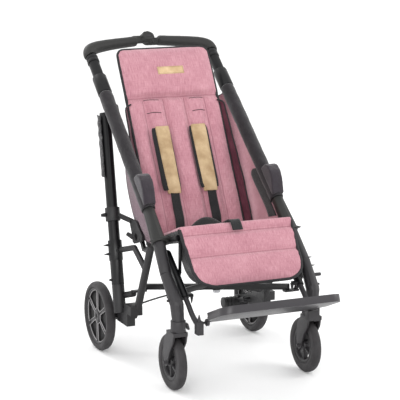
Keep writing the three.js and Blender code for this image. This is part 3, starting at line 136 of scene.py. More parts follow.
class Finish:
    """One surface finish, with its shader's constants set and its maps added by the methods."""

    def __init__(self, name, **constants):
        self.material = bpy.data.materials.new(name)
        self.material.use_nodes = True
        self.tree = self.material.node_tree
        self.shader = self.tree.nodes["Principled BSDF"]
        for key, value in constants.items():
            self.shader.inputs[key.replace("_", " ")].default_value = value
        place = self.tree.nodes.new("ShaderNodeTexCoord")
        self.place = Wire(self, place.outputs["Object"])

    def node(self, kind, settings, values, output=0):
        made = self.tree.nodes.new(kind)
        settings = dict(settings)
        stops = settings.pop("stops", None)
        for key, value in settings.items():
            setattr(made, key, value)
        for i, (at, colour) in enumerate(stops or []):
            stop = made.color_ramp.elements[i] if i < 2 else made.color_ramp.elements.new(at)
            stop.position, stop.color = at, (*colour, 1)
        pairs = values.items() if isinstance(values, dict) else enumerate(values)
        for key, value in pairs:
            if isinstance(value, Wire):
                self.tree.links.new(value.socket, made.inputs[key])
            else:
                made.inputs[key].default_value = value
        return Wire(self, made.outputs[output])

    def along(self, way, start=(0, 0, 0)):
        """Metres along a way from a starting point."""
        spot = self.node("ShaderNodeVectorMath", {"operation": "SUBTRACT"}, [self.place, tuple(start)])
        return self.node("ShaderNodeVectorMath", {"operation": "DOT_PRODUCT"}, [spot, tuple(way)], 1)

    def cloth(self):
        """Metres across and metres along the cloth, from the piece's own map."""
        laid = self.node("ShaderNodeUVMap", {"uv_map": "cloth"}, [])
        return [self.node("ShaderNodeSeparateXYZ", {}, [laid], k) for k in (0, 1)]

    def grain(self, scale, detail=3.0, at=None, rough=0.55):
        values = {"Vector": at or self.place, "Scale": scale, "Detail": detail, "Roughness": rough}
        return self.node("ShaderNodeTexNoise", {}, values)

    def streaks(self, u, v, w, sizes):
        """Noise drawn out to a different size along each of three ways."""
        spot = self.node("ShaderNodeCombineXYZ", {}, [x / size for x, size in zip((u, v, w), sizes)])
        return self.grain(1.0, 2.0, spot)

    def cells(self, scale):
        return self.node("ShaderNodeTexVoronoi", {"feature": "DISTANCE_TO_EDGE"},
                         {"Vector": self.place, "Scale": scale})

    def ramp(self, value, stops):
        return self.node("ShaderNodeValToRGB", {"stops": stops}, [value])

    def mix(self, share, first, second):
        values = {0: share, 6: colour_of(first), 7: colour_of(second)}
        return self.node("ShaderNodeMix", {"data_type": "RGBA"}, values, 2)

    def feed(self, **maps):
        for key, wire in maps.items():
            self.tree.links.new(wire.socket, self.shader.inputs[key.replace("_", " ")])
        return self

    def bump(self, height, depth):
        values = {"Height": height, "Distance": depth, "Strength": 1.0}
        return self.feed(Normal=self.node("ShaderNodeBump", {}, values))


def colour_of(value):
    return value if isinstance(value, Wire) else (*value, 1)


def rubbed_colour(made, cloud, colour, gain, mask, worn):
    """A clouded colour that is paler where the mask says that it is rubbed."""
    made.feed(Base_Color=made.mix(mask, made.mix(cloud, colour, [c * gain for c in colour]), worn))


def coated_metal(name, colour, scuff, rough):
    """Powder coat: a fine orange peel, with duller and paler rubbed places."""
    made = Finish(name, IOR=1.5, Specular_IOR_Level=0.3, Coat_Weight=0.06, Coat_Roughness=0.3)
    peel, cloud = made.grain(900, 2), made.grain(14, 4)
    rub = made.grain(60, 5, rough=0.7).over(0.55, 0.75)
    rubbed_colour(made, cloud, colour, 1.35, rub * 0.35, scuff)
    made.feed(Roughness=rough + cloud * 0.12 + rub * 0.1)
    return made.bump(peel * 0.6 + rub * 0.4, 0.00012)


def moulded(name, colour, worn, rough, depth=0.00018):
    """Moulded plastic: a spark-eroded grain and slightly shiny handled places."""
    made = Finish(name, IOR=1.47)
    spark, cloud = made.grain(1500, 2), made.grain(22, 4)
    worn_in = made.grain(45, 5, rough=0.75).over(0.58, 0.8)
    rubbed_colour(made, cloud, colour, 1.3, worn_in * 0.5, worn)
    made.feed(Roughness=rough + spark * 0.12 - worn_in * 0.1)
    return made.bump(spark, depth)


powder_black = coated_metal("powder_black", (0.0035, 0.0035, 0.0042), (0.018, 0.018, 0.02), 0.3)
grey_moulding = moulded("grey_moulding", (0.017, 0.0155, 0.0175), (0.045, 0.042, 0.047), 0.44)
olive_moulding = moulded("olive_moulding", (0.0085, 0.0085, 0.0078), (0.02, 0.02, 0.018), 0.42)
rib_moulding = moulded("rib_moulding", (0.009, 0.0085, 0.0095), (0.024, 0.023, 0.025), 0.46)
grip_rubber = moulded("grip_rubber", (0.0135, 0.0132, 0.0125), (0.028, 0.027, 0.026), 0.52, 0.0004)
wheel_rubber = moulded("wheel_rubber", (0.045, 0.041, 0.044), (0.075, 0.07, 0.072), 0.62, 0.0003)
bright_steel = coated_metal("bright_steel", (0.42, 0.42, 0.44), (0.6, 0.6, 0.62), 0.24)


def woven(name, shades, yarn=(0.0022, 0.03), weave=0.0012, depth=0.0003, sewn=None, rough=0.86):
    """Woven cloth: drawn-out lighter and darker yarns, its weave, and seams with their thread; each
    seam's line is darkened with painted shade of its groove.
    """
    made = Finish(name, Sheen_Weight=0.25, Sheen_Roughness=0.5, Specular_IOR_Level=0.25)
    u, v = made.cloth()
    drawn = made.streaks(u, v, v * 0, (*yarn, 1))
    crossed = made.streaks(u, v, v * 0 + 7, (yarn[1], yarn[0], 1))
    cloud = made.grain(11, 4)
    tone = drawn * 0.5 + crossed * 0.22 + cloud * 0.28
    shade = made.ramp(tone, [(0.34, shades[0]), (0.5, shades[1]), (0.68, shades[2])])
    height = u.wave(weave) * v.wave(weave) * 0.35 + drawn * 0.5
    if sewn:
        line, thread = sewn(u, v)
        # Painted shade: the seam's line darkens the cloth as the shade in its groove would.
        shade = made.mix(line * 0.45, shade, [c * 0.6 for c in shades[0]])
        shade = made.mix(thread * 0.3, shade, [min(1, c * 1.15) for c in shades[2]])
        height = height - line * 2.0 + thread * 1.2
    made.feed(Base_Color=shade, Roughness=rough + drawn * 0.1)
    return made.bump(height, depth)


def stitches(across, along):
    """A seam's line, which the cloth darkens as painted shade of its groove, and the two rows of thread
    beside it.
    """
    thread = across.size().near(0.0042, 0.0009) * along.wave(0.0042).over(-0.3, 0.3)
    return across.near(0, 0.0022), thread


def sewn_rows(rows):
    """Adds up seams, each a distance across and along it, kept where its share is 1."""
    def sewn(u, v):
        line = thread = None
        for across, along, kept in rows(u, v):
            a, b = stitches(across, along)
            a, b = a * kept, b * kept
            line, thread = (a, b) if line is None else (line + a, thread + b)
        return line, thread
    return sewn


def leather(name, shades, edge=None):
    """Smooth tan hide: a pebbled grain, soft cloudy colour and slightly shiny high places."""
    made = Finish(name, Specular_IOR_Level=0.4, Coat_Weight=0.08, Coat_Roughness=0.4)
    pebble, cloud = made.cells(420), made.grain(30, 4)
    shade = made.ramp(cloud, [(0.32, shades[0]), (0.52, shades[1]), (0.7, shades[2])])
    height = pebble.over(0.0, 0.25)
    made.feed(Roughness=0.5 + cloud * 0.16)
    if edge:
        thread = edge(made)
        shade = made.mix(thread, shade, [c * 0.4 for c in shades[0]])
        height = height * 0.5 + thread
    made.feed(Base_Color=shade)
    return made.bump(height, 0.0003)


PATCH_AT = BACK_FOLD + HEAD_RUN * 0.093 + ACROSS * 0.003
PATCH_SIZE = (0.1, 0.0285, 0.0022)


def patch_edge(made):
    """A row of stitches 2.5 mm inside the edge of the head patch."""
    u, v = made.along(ACROSS, PATCH_AT), made.along(HEAD_RUN, PATCH_AT)
    across = u.maths("MAXIMUM", u.size() - 0.0475, v.size() - 0.0118)
    dash = (u + v).wave(0.0045).over(-0.4, 0.1)
    return across.near(0, 0.0009) * dash


def tread(name, shades):
    """Grey tyre rubber with fine lengthwise grooves and moulded nibs across the tread."""
    made = Finish(name, Specular_IOR_Level=0.35)
    cloud, dust = made.grain(25, 4), made.grain(160, 4, rough=0.7).over(0.5, 0.75)
    shade = made.ramp(cloud, [(0.3, shades[0]), (0.5, shades[1]), (0.7, shades[2])])
    made.feed(Base_Color=made.mix(dust * 0.25, shade, [c * 1.9 for c in shades[2]]))
    made.feed(Roughness=0.62 + dust * 0.2)
    ribs = made.along(ACROSS).wave(0.0036).over(-0.6, 0.6)
    return made.bump(ribs * 0.8 + made.grain(700, 2) * 0.3, 0.0007)


# Shades of a cloth, hide or rubber: dark, middle and light
PINK = ((0.34, 0.14, 0.175), (0.45, 0.21, 0.25), (0.56, 0.305, 0.34))
INK_PLUM = ((0.006, 0.0047, 0.0062), (0.0115, 0.009, 0.0115), (0.022, 0.018, 0.0225))
PLUM = ((0.015, 0.012, 0.0155), (0.025, 0.020, 0.026), (0.042, 0.035, 0.044))
INK = ((0.004, 0.004, 0.0045), (0.008, 0.008, 0.009), (0.015, 0.0145, 0.016))
TAN = ((0.35, 0.23, 0.115), (0.44, 0.31, 0.17), (0.53, 0.39, 0.23))
MAUVE = ((0.085, 0.042, 0.060), (0.13, 0.068, 0.092), (0.19, 0.105, 0.135))
# Painted shade: the gusset's maroon is the dark colour of the shaded gap beside the back.
GAP_SHADE_MAROON = ((0.045, 0.008, 0.016), (0.075, 0.016, 0.028), (0.12, 0.03, 0.048))
SALT = ((0.010, 0.010, 0.011), (0.03, 0.029, 0.031), (0.20, 0.195, 0.2))
GREY = ((0.019, 0.0175, 0.0185), (0.028, 0.026, 0.0275), (0.04, 0.037, 0.039))
HEAD_LONG = (BACK_TOP - BACK_FOLD).length
ROLL_AT = (CALF_PATH[1] - CALF_PATH[0]).length
CALF_SEAM_AT = ROLL_AT + (CALF_PATH[2] - CALF_PATH[1]).length

pink_cloth = woven("pink_cloth", PINK)
back_cloth = woven("back_cloth", PINK, sewn=sewn_rows(lambda u, v: [
    *((u.size() - x, v, v.over(HEAD_LONG, HEAD_LONG + 0.012)) for x in (0.119, 0.04)),
    (v - HEAD_LONG, u, 1 - u.size().over(0.168, 0.175))]))
calf_cloth = woven("calf_cloth", PINK, yarn=(0.0022, 0.022), sewn=sewn_rows(lambda u, v: [
    (v - at, u, 1 - u.size().over(0.19, 0.2)) for at in (ROLL_AT, CALF_SEAM_AT)]))
panel_cloth = woven("panel_cloth", PINK, yarn=(0.03, 0.0022))
panel_outside = woven("panel_outside", MAUVE)
plum_cloth = woven("plum_cloth", PLUM, rough=0.8)
# Painted shade: the gusset's cloth takes the dark maroon of the shaded gap.
gusset_shaded_cloth = woven("gusset_shaded_cloth", GAP_SHADE_MAROON)
sleeve_cloth = woven("sleeve_cloth", INK_PLUM, yarn=(0.0016, 0.02), rough=0.78)
dark_lining = woven("dark_lining", INK)
web_cloth = woven("web_cloth", INK, yarn=(0.0012, 0.01), weave=0.0017, depth=0.0005, rough=0.72)
cover_cloth = woven("cover_cloth", SALT, yarn=(0.005, 0.009), weave=0.003, depth=0.0009)
binding_cloth = moulded("binding_cloth", (0.009, 0.0085, 0.010), (0.02, 0.019, 0.021), 0.66, 0.0003)
plate_moulding = moulded("plate_moulding", (0.024, 0.022, 0.025), (0.06, 0.057, 0.062), 0.3)
slot_shadow = moulded("slot_shadow", (0.028, 0.016, 0.02), (0.06, 0.035, 0.045), 0.8)
cable_skin = moulded("cable_skin", (0.014, 0.014, 0.014), (0.03, 0.03, 0.03), 0.45)
tan_hide = leather("tan_hide", TAN)
patch_hide = leather("patch_hide", [[c * 1.12 for c in shade] for shade in TAN], patch_edge)
tread_rubber = tread("tread_rubber", GREY)
wheel_moulding = moulded("wheel_moulding", (0.013, 0.012, 0.0135), (0.04, 0.037, 0.04), 0.4)
# Painted shade: the dark web fills the wheel's windows with their shade.
painted_window_shade = moulded("painted_window_shade", (0.0045, 0.0042, 0.0045), (0.012, 0.011, 0.012), 0.6)
window_edge = moulded("window_edge", (0.3, 0.29, 0.295), (0.4, 0.39, 0.4), 0.38)

# What each of the frame's nodes is finished with
NODE_FINISH = {node: finish for finish, names in (
    (powder_black, "main_tube rear_leg seat_rail hanger handle_tube brace_bar_lower brace_bar_upper "
                   "brake_cable"),
    (grey_moulding, "front_leg hanger_tube caster_fork caster_lock handle_release"),
    (rib_moulding, "rear_housing tilt_collar collar_knob brake_pedal"),
    (olive_moulding, "leg_joint"), (plate_moulding, "footplate"), (wheel_moulding, "rear_rim"),
    (wheel_rubber, "caster_wheel rear_tyre"), (grip_rubber, "handle_grip handle_hub"),
    (bright_steel, "brace_hub"), (plum_cloth, "tube_sleeve arm_pad"), (tan_hide, "shoulder_pad"),
    (pink_cloth, "side_panel seat_cushion calf_pad back_pad"),
    (web_cloth, "shoulder_strap leg_cover crotch_strap pelvic_pad")) for node in names.split()}
# How far the moulded pieces' edges are rounded
ROUNDED = {"footplate": 0.0042, "caster_fork": 0.0026, "leg_joint": 0.0022, "rear_housing": 0.0018,
           "tilt_collar": 0.0014, "front_leg": 0.0014, "hanger_tube": 0.0012, "brake_pedal": 0.0012,
           "handle_hub": 0.003}


def coat_frame():
    """Gives each node its finish, and rounds the edges of the rigid ones."""
    for name, node in nodes.items():
        plain = name.removeprefix("left_").removeprefix("right_")
        coat(node, NODE_FINISH[plain])
        weld = node.modifiers.new("weld", "WELD")
        weld.merge_threshold = 0.00002
        edge = node.modifiers.new("edge", "BEVEL")
        edge.width, edge.segments, edge.limit_method = ROUNDED.get(plain, 0.0008), 3, "ANGLE"
        edge.angle_limit, edge.harden_normals = math.radians(38), True


# ---------------------------------------------------------------- shaping tools


def alone(piece):
    """Leaves one piece selected and active."""
    bpy.ops.object.select_all(action="DESELECT")
    piece.select_set(True)
    bpy.context.view_layer.objects.active = piece


def settle(piece, kind, **settings):
    """Adds a modifier to a piece and applies it."""
    alone(piece)
    step = piece.modifiers.new(kind.lower(), kind)
    for key, value in settings.items():
        setattr(step, key, value)
    bpy.ops.object.modifier_apply(modifier=step.name)


def rows_of(items, key):
    """Three numbers for each item of a mesh, one row each."""
    flat = np.empty(len(items) * 3)
    items.foreach_get(key, flat)
    return flat.reshape(-1, 3)


def points_of(piece):
    return rows_of(piece.data.vertices, "co")


def normals_of(piece):
    return rows_of(piece.data.vertex_normals, "vector")


def reshape(piece, points):
    piece.data.vertices.foreach_set("co", np.asarray(points, dtype=float).ravel())
    piece.data.update()


def coat(piece, *finishes):
    """Gives a piece its finishes and shades it smooth."""
    piece.data.materials.clear()
    for finish in finishes:
        piece.data.materials.append(finish.material)
    piece.data.polygons.foreach_set("use_smooth", [True] * len(piece.data.polygons))


def carry(piece, body, node=None):
    """Says which body a piece rides on and the node that it stands for."""
    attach(piece, body)
    if node:
        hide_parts(node)


def narrowing(piece, node=None, body="seat"):
    """Carries a soft piece on a body in place of its node, and gives it its own mesh."""
    carry(piece, body, node)
    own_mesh(piece)


def noise_at(points, sizes):
    """Smooth noise from -1 to 1, drawn out to a size along each axis."""
    return np.array([noise.noise(spot) for spot in points / np.asarray(sizes) + 3.0])


def line_of(points, step):
    """A smooth line through points of the Y-Z plane, with a point every step."""
    knots = [np.array(p, dtype=float) for p in points]
    knots = [2 * knots[0] - knots[1], *knots, 2 * knots[-1] - knots[-2]]
    line = []
    for a, b, c, d in zip(knots, knots[1:], knots[2:], knots[3:]):
        count = max(2, int(np.linalg.norm(c - b) / step))
        for t in np.arange(count) / count:
            line.append(0.5 * (2 * b + (c - a) * t + (2 * a - 5 * b + 4 * c - d) * t ** 2
                               + (3 * b - 3 * c + d - a) * t ** 3))
    return np.array([*line, knots[-2]])


def grid_piece(name, rows, spans, thick, *finishes, round_tube=False):
    """Cloth of a thickness from its rows of points; its map spreads a width and a length over it."""
    long, wide = len(rows), len(rows[0])
    mesh = bpy.data.meshes.new(name)
    faces = [(i * wide + j, i * wide + j + 1, (i + 1) * wide + j + 1, (i + 1) * wide + j)
             for i in range(long - 1) for j in range(wide - 1)]
    mesh.from_pydata([tuple(p) for row in rows for p in row], [], faces)
    piece = bpy.data.objects.new(name, mesh)
    bpy.context.collection.objects.link(piece)
    layer = mesh.uv_layers.new(name="cloth")
    for loop in mesh.loops:
        i, j = divmod(loop.vertex_index, wide)
        layer.data[loop.index].uv = (spans[0] * j / (wide - 1), spans[1] * i / (long - 1))
    if round_tube:
        close(piece, turn=True)
    settle(piece, "SOLIDIFY", thickness=thick, offset=-1 if round_tube else 0)
    coat(piece, *finishes)
    return piece


def along_path(points, path):
    """How far each point is along a path of the Y-Z plane, how far out of it, and which way is out."""
    nearest = np.full(len(points), np.inf)
    along, out, ways = np.zeros(len(points)), np.zeros(len(points)), np.zeros((len(points), 3))
    start = 0.0
    for i, (a, b) in enumerate(zip(path, path[1:])):
        size = (b - a).length
        run = np.array((b - a) / size)
        way = np.array((0, run[2], -run[1]))
        offset = points * (0, 1, 1) - np.array(a)
        passed, rise = offset @ run, offset @ way
        kept = np.clip(passed, -np.inf if i == 0 else 0, np.inf if i == len(path) - 2 else size)
        distance = np.hypot(passed - kept, rise)
        here = distance < nearest
        nearest[here], along[here] = distance[here], start + kept[here]
        out[here], ways[here] = rise[here], way
        start += size
    return along, out, ways


def seam_share(points, path, seams, width):
    """1 on a seam and 0 away from it; a seam joins two places, each across and along the path."""
    spots = np.stack((points[:, 0], along_path(points, path)[0]), 1)
    share = np.zeros(len(points))
    for a, b in seams:
        a, run = np.array(a), np.array(b) - np.array(a)
        t = np.clip((spots - a) @ run / (run @ run), 0, 1)
        distance = np.linalg.norm(spots - a - t[:, None] * run, axis=1)
        share = np.maximum(share, np.exp(-(distance / width) ** 2))
    return share


def close(piece, turn=False):
    """Merges a mesh's doubled points, and turns its faces outwards where that is asked."""
    shell = bmesh.new()
    shell.from_mesh(piece.data)
    bmesh.ops.remove_doubles(shell, verts=shell.verts, dist=0.00001)
    if turn:
        bmesh.ops.recalc_face_normals(shell, faces=shell.faces)
    shell.to_mesh(piece.data)
    shell.free()


def pad_from(name, node, voxel):
    """A pad's even skin, taken from the solid that it dresses."""
    piece = bpy.data.objects.new(name, nodes[node].data.copy())
    bpy.context.collection.objects.link(piece)
    close(piece)
    settle(piece, "REMESH", mode="VOXEL", voxel_size=voxel, use_smooth_shade=True)
    return piece


# Cosine between a pad's way out and its surface, below which the lining starts
LINED_BELOW = 0.2
AIR_FRAMES = 20


class Pad:
    """A stuffed pad: the skin of a node, its path, its seams and how far it may swell."""

    def __init__(self, name, node, path, seams=(), voxel=0.006, swell=0.005, sink=0.004, width=0.0045):
        self.piece, self.path, self.seams, self.node = pad_from(name, node, voxel), path, seams, node
        self.swell, self.sink, self.width = swell, sink, width

    def pump(self):
        """Readies the pad's cloth: its back and seams are held, and air fills the rest."""
        points, ways = points_of(self.piece), along_path(points_of(self.piece), self.path)[2]
        facing = np.sum(normals_of(self.piece) * ways, axis=1)
        held = np.clip(0.6 - facing * 1.2, 0, 1)
        held = np.maximum(held, seam_share(points, self.path, self.seams, self.width * 1.6))
        group, levels = self.piece.vertex_groups.new(name="held"), np.round(held * 10)
        for level in range(1, 11):
            group.add(np.flatnonzero(levels == level).tolist(), level / 10, "REPLACE")
        air = self.piece.modifiers.new("air", "CLOTH")
        air.settings.use_pressure, air.settings.uniform_pressure_force = True, 4
        air.settings.effector_weights.gravity = 0
        air.settings.vertex_group_mass, air.settings.quality = "held", 4
        air.settings.tension_stiffness, air.settings.bending_stiffness = 12, 0.3
        air.point_cache.frame_end = AIR_FRAMES

    def read(self, scene_state):
        """Takes the swollen shape, no further than the pad may swell."""
        before, swollen = points_of(self.piece), self.piece.evaluated_get(scene_state)
        moved = points_of(swollen) - before
        length = np.linalg.norm(moved, axis=1)
        share = self.swell * np.tanh(length / self.swell) / np.maximum(length, 1e-9)
        self.after = before + moved * share[:, None]

    def rest(self):
        self.piece.modifiers.remove(self.piece.modifiers["air"])
        self.piece.vertex_groups.clear()
        reshape(self.piece, self.after)

    def finish(self, crease, sizes):
        """Subdivides the skin, then creases it and sinks its sewn channels."""
        settle(self.piece, "SMOOTH", factor=0.5, iterations=3)
        settle(self.piece, "SUBSURF", levels=1, render_levels=1)
        points = points_of(self.piece)
        along, _, ways = along_path(points, self.path)
        face = np.clip(np.sum(normals_of(self.piece) * ways, axis=1) * 1.6 - 0.3, 0, 1)
        near = seam_share(points, self.path, self.seams, self.width)
        wide = seam_share(points, self.path, self.seams, self.width * 4)
        fold = noise_at(points, sizes) * crease
        fold += noise_at(points, np.array(sizes) * 0.35) * crease * 0.3
        pucker = np.sin((points[:, 0] + along) * 2 * math.pi / 0.021 + noise_at(points, (0.1,) * 3) * 4)
        depth = fold * 1.6 - near * self.sink + pucker * wide * (1 - near) * 0.0007
        reshape(self.piece, points + ways * (face * depth)[:, None])
        self.map_cloth()

    def map_cloth(self):
        """The weave follows the pad's path: metres across and metres along."""
        points = points_of(self.piece)
        along, _, _ = along_path(points, self.path)
        mesh = self.piece.data
        layer = mesh.uv_layers.get("cloth") or mesh.uv_layers.new(name="cloth")
        corners = np.empty(len(mesh.loops), dtype=np.int64)
        mesh.loops.foreach_get("vertex_index", corners)
        layer.data.foreach_set("uv", np.stack((points[corners, 0], along[corners]), 1).ravel())

    def line_back(self, cloth):
        """The pad's face gets its cloth, and the rest of it the dark lining."""
        coat(self.piece, cloth, dark_lining)
        faces = self.piece.data.polygons
        out = along_path(rows_of(faces, "center"), self.path)[2]
        back = np.sum(out * rows_of(faces, "normal"), axis=1) <= LINED_BELOW
        faces.foreach_set("material_index", back.astype(np.int32))


def puff(pads):
    """One run of the cloth solver fills all the pads."""
    for pad in pads:
        pad.pump()
    for frame_number in range(1, AIR_FRAMES + 1):
        bpy.context.scene.frame_set(frame_number)
    scene_state = bpy.context.evaluated_depsgraph_get()
    for pad in pads:
        pad.read(scene_state)
    for pad in pads:
        pad.rest()
    bpy.context.scene.frame_set(1)


EASINGS = 16


def binding(name, pad, radius, free_to):
    """A sewn binding round a pad, where its face meets its lining, past the first free_to metres."""
    piece = pad.piece
    shell = bmesh.new()
    shell.from_mesh(piece.data)
    edges = {e for e in shell.edges if len(e.link_faces) == 2
             and e.link_faces[0].material_index != e.link_faces[1].material_index}
    loops = []
    while edges:
        start = min(edges, key=lambda e: e.index)
        edges.discard(start)
        loop, tip = [start.verts[0], start.verts[1]], start.verts[1]
        while True:
            onward = next((e for e in tip.link_edges if e in edges), None)
            if onward is None:
                break
            edges.discard(onward)
            tip = onward.other_vert(tip)
            loop.append(tip)
        loops.append([tuple(v.co) for v in loop])
    shell.free()
    line = np.array(max(loops, key=len)[:-1])
    for _ in range(EASINGS):
        line = 0.5 * line + 0.25 * (np.roll(line, 1, 0) + np.roll(line, -1, 0))
    kept = along_path(line, pad.path)[0] > free_to
    if kept.all():
        return tube(name, line[::2], radius, binding_cloth, closed=True)
    turn = int(np.flatnonzero(kept & ~np.roll(kept, 1))[0])
    line, kept = np.roll(line, -turn, 0), np.roll(kept, -turn)
    return tube(name, line[kept][::2], radius, binding_cloth)


def tube(name, line, radius, finish, closed=False, sides=3):
    """A round cord or binding along a line, made a mesh."""
    curve = bpy.data.curves.new(name, "CURVE")
    curve.dimensions, curve.bevel_depth, curve.bevel_resolution = "3D", radius, sides
    curve.use_fill_caps = not closed
    spline = curve.splines.new("POLY")
    spline.points.add(len(line) - 1)
    for spot, point in zip(line, spline.points):
        point.co = (*spot, 1)
    spline.use_cyclic_u = closed
    piece = bpy.data.objects.new(name, curve)
    bpy.context.collection.objects.link(piece)
    alone(piece)
    bpy.ops.object.convert(target="MESH")
    piece = bpy.context.object
    coat(piece, finish)
    return piece


# ---------------------------------------------------------------- the seat's soft goods

BACK_PATH = [BACK_TOP, BACK_FOLD, BACK_LOW]
BACK_LONG = HEAD_LONG + (BACK_FOLD - BACK_LOW).length
SEAT_PATH = [SEAT_REAR, SEAT_RIDGE]
SEAT_LONG = (SEAT_RIDGE - SEAT_REAR).length
ARM_PATH = [tube_at(0, 0.126), tube_at(0, 0.006)]
CALF_LONG = sum((b - a).length for a, b in zip(CALF_PATH, CALF_PATH[1:]))


def back_spot(x, up, out=0.0):
    """A point on the back, at metres up from its foot and metres proud of its plane."""
    return BACK_LOW + ACROSS * x + BACK_RUN * up + BACK_OUT * out


def seat_pads():
    """The pads of the back with its head section, of the seat, and of the calves."""
    fold = ((-0.17, HEAD_LONG), (0.17, HEAD_LONG))
    channels = [((x, HEAD_LONG + 0.012), (x, BACK_LONG)) for x in (-0.119, -0.04, 0.04, 0.119)]
    back = Pad("back_cushion", "back_pad", BACK_PATH, [fold, *channels], sink=0.006, width=0.011)
    points = points_of(back.piece)
    above = np.clip(1 - along_path(points, BACK_PATH)[0] / HEAD_LONG, 0, 1)[:, None]
    reshape(back.piece, points + 0.009 * above * HEAD_RUN)
    seat_seams = [((x, 0.0), (x, SEAT_LONG)) for x in (-0.125, 0.125)]
    seat = Pad("seat_base", "seat_cushion", SEAT_PATH, seat_seams, swell=0.004)
    rows = [((-0.2, at), (0.2, at)) for at in (ROLL_AT, CALF_SEAM_AT)]
    calf = Pad("calf_cushion", "calf_pad", CALF_PATH, rows, 0.0055, 0.006, 0.0055, 0.009)
    return back, seat, calf


# Where the tan faces and their dark backings lie across the back: middle and width
TAN_PLACE = {"left": (-0.0725, 0.055), "right": (0.066, 0.059)}
BACKING_PLACE = {"left": (-0.0785, 0.069), "right": (0.0655, 0.071)}
BACKING_LOW, BACKING_LONG = 0.162, 0.2305


def shoulder_pads():
    """The tan faces of the shoulder pads, each moved to its own place on the back."""
    made = []
    for side, s in SIDES.items():
        hide = Pad(f"{side}_shoulder_cushion", f"{side}_shoulder_pad", BACK_PATH, (), 0.004, 0.0025)
        points = points_of(hide.piece)
        middle, wide = TAN_PLACE[side]
        points[:, 0] = middle + (points[:, 0] - s * 0.07) * wide / 0.05
        lower = np.clip(along_path(points, BACK_PATH)[0] / BACK_LONG - 0.4, 0, 1)[:, None]
        reshape(hide.piece, points - 0.012 * lower * BACK_RUN)
        made.append(hide)
    return made


def shoulder_backing(side):
    """The dark backing that shows beside the tan face of a shoulder pad."""
    rows = []
    middle, wide = BACKING_PLACE[side]
    for up in np.linspace(BACKING_LOW, BACKING_LOW + BACKING_LONG, 40):
        half = wide / 2 - 0.004 * abs((up - 0.277) / 0.1155) ** 12
        rows.append([back_spot(middle + half * t, up, 0.0185 - 0.003 * abs(t) ** 3)
                     for t in np.linspace(-1, 1, 13)])
    piece = grid_piece(f"{side}_shoulder_backing", rows, (wide, BACKING_LONG), 0.005)
    settle(piece, "BEVEL", width=0.0012, segments=2)
    coat(piece, web_cloth)
    narrowing(piece)


def ribbon(name, x, line, half, thick, lean=0.0):
    """Webbing along a line of the Y-Z plane, slightly hollow across, with two raised edges."""
    line = line_of(line, 0.004)
    steps = np.linalg.norm(np.diff(line, axis=0), axis=1)
    rows = []
    for i, spot in enumerate(line):
        run = line[min(i + 1, len(line) - 1)] - line[max(i - 1, 0)]
        run = run / np.linalg.norm(run)
        way = np.array((0, run[2], -run[1]))
        middle = x + lean * i / len(line)
        wave = 0.0008 * math.sin(i * 0.21 + x * 40)
        rows.append([spot + way * (wave * t + 0.0006 * abs(t) ** 4) + np.array((middle + half * t, 0, 0))
                     for t in np.linspace(-1, 1, 9)])
    flat = (half * 2, float(steps.sum()))
    return grid_piece(name, rows, flat, thick, web_cloth), flat


def harness():
    """Shoulder straps below their pads, and the crotch strap over the front roll."""
    made = []
    for side, s in SIDES.items():
        line = [(0, 0.150, 0.600), (0, 0.134, 0.565), (0, 0.112, 0.527),
                (0, 0.0885, 0.492), (0, 0.079, 0.463), (0, 0.064, 0.4445)]
        strap, flat = ribbon(f"{side}_shoulder_webbing", s * 0.07, line, 0.0165, 0.0022, -0.008)
        made.append((strap, flat, f"{side}_shoulder_strap"))
    line = [(0, -0.120, 0.5123), (0, -0.165, 0.5285), (0, -0.2, 0.5445), (0, -0.214, 0.541),
            (0, -0.229, 0.515)]
    strap, flat = ribbon("crotch_webbing", -0.02, line, 0.019, 0.0024, 0.016)
    made.append((strap, flat, "crotch_strap"))
    for strap, flat, node in made:
        narrowing(strap, node=node)


WING_FLAT = (0.04, 0.488)


def back_wing(side, s):
    """The gusset beside the back, dark behind, that fills the gap to the side panel; its face is painted
    dark maroon as painted shade of that gap.
    """
    rows = []
    for up in np.linspace(0.0, WING_FLAT[1], 74):
        rounded = (1 - max(0.0, (up - 0.466) / 0.022) ** 2.2) ** 0.5
        reach = (0.022 + 0.014 * min(1, (WING_FLAT[1] - up) / 0.3)) * rounded
        rows.append([back_spot(s * (0.168 + reach * t), up, -0.008 + 0.017 * t ** 2
                               + 0.0012 * math.sin(up * 60 + t * 3)) for t in np.linspace(0, 1, 9)])
    wing = grid_piece(f"{side}_back_wing", rows, WING_FLAT, 0.003, gusset_shaded_cloth, dark_lining)
    for face in wing.data.polygons:
        face.material_index = 0 if face.normal.dot(BACK_OUT) > 0.1 else 1
    edge = [tuple(p) for p in (*(row[-1] for row in rows), *reversed(rows[-1][:-1]))]
    hem = tube(f"{side}_wing_hem", edge, 0.0026, binding_cloth)
    narrowing(wing)
    narrowing(hem)


def roll_end(side, s):
    """The dark cloth that closes the end of the front roll and hangs behind the calf pad's edge."""
    rows = []
    for share in np.linspace(0, 1, 36):
        along = CALF_LONG * (0.02 + 0.86 * share)
        spot, out = path_spot(CALF_PATH, along)
        deep = 0.012 + 0.095 * (1 - share ** 3) * min(1, 0.45 + share)
        rows.append([spot - out * (0.012 + deep * t) + ACROSS * s * (0.183 - 0.005 * share
                     + 0.003 * math.sin(t * 6 + share * 9)) for t in np.linspace(0, 1, 13)])
    cloth = grid_piece(f"{side}_roll_end", rows, (0.107, 0.19), 0.0024, dark_lining)
    narrowing(cloth, body="calf")
    wide = sum((row[-1] - row[0]).length for row in rows) / len(rows)
    long = sum((b[6] - a[6]).length for a, b in zip(rows, rows[1:]))


def path_spot(path, along):
    """The point at metres along a path of the Y-Z plane, and the way out of it there."""
    for a, b in zip(path, path[1:]):
        size = (b - a).length
        run = (b - a) / size
        if along <= size or b is path[-1]:
            return a + run * along, Vector((0, run.z, -run.y))
        along -= size


def lay_on(points, pad, way, proud):
    """The points, moved along the way until each is proud of the pad's face."""
    laid, probe = [], 0.08
    for spot in points:
        start = Vector(spot) + way * probe
        hit, place, *_ = pad.piece.ray_cast(start, -way)
        laid.append(place + way * proud if hit else Vector(spot))
    return laid


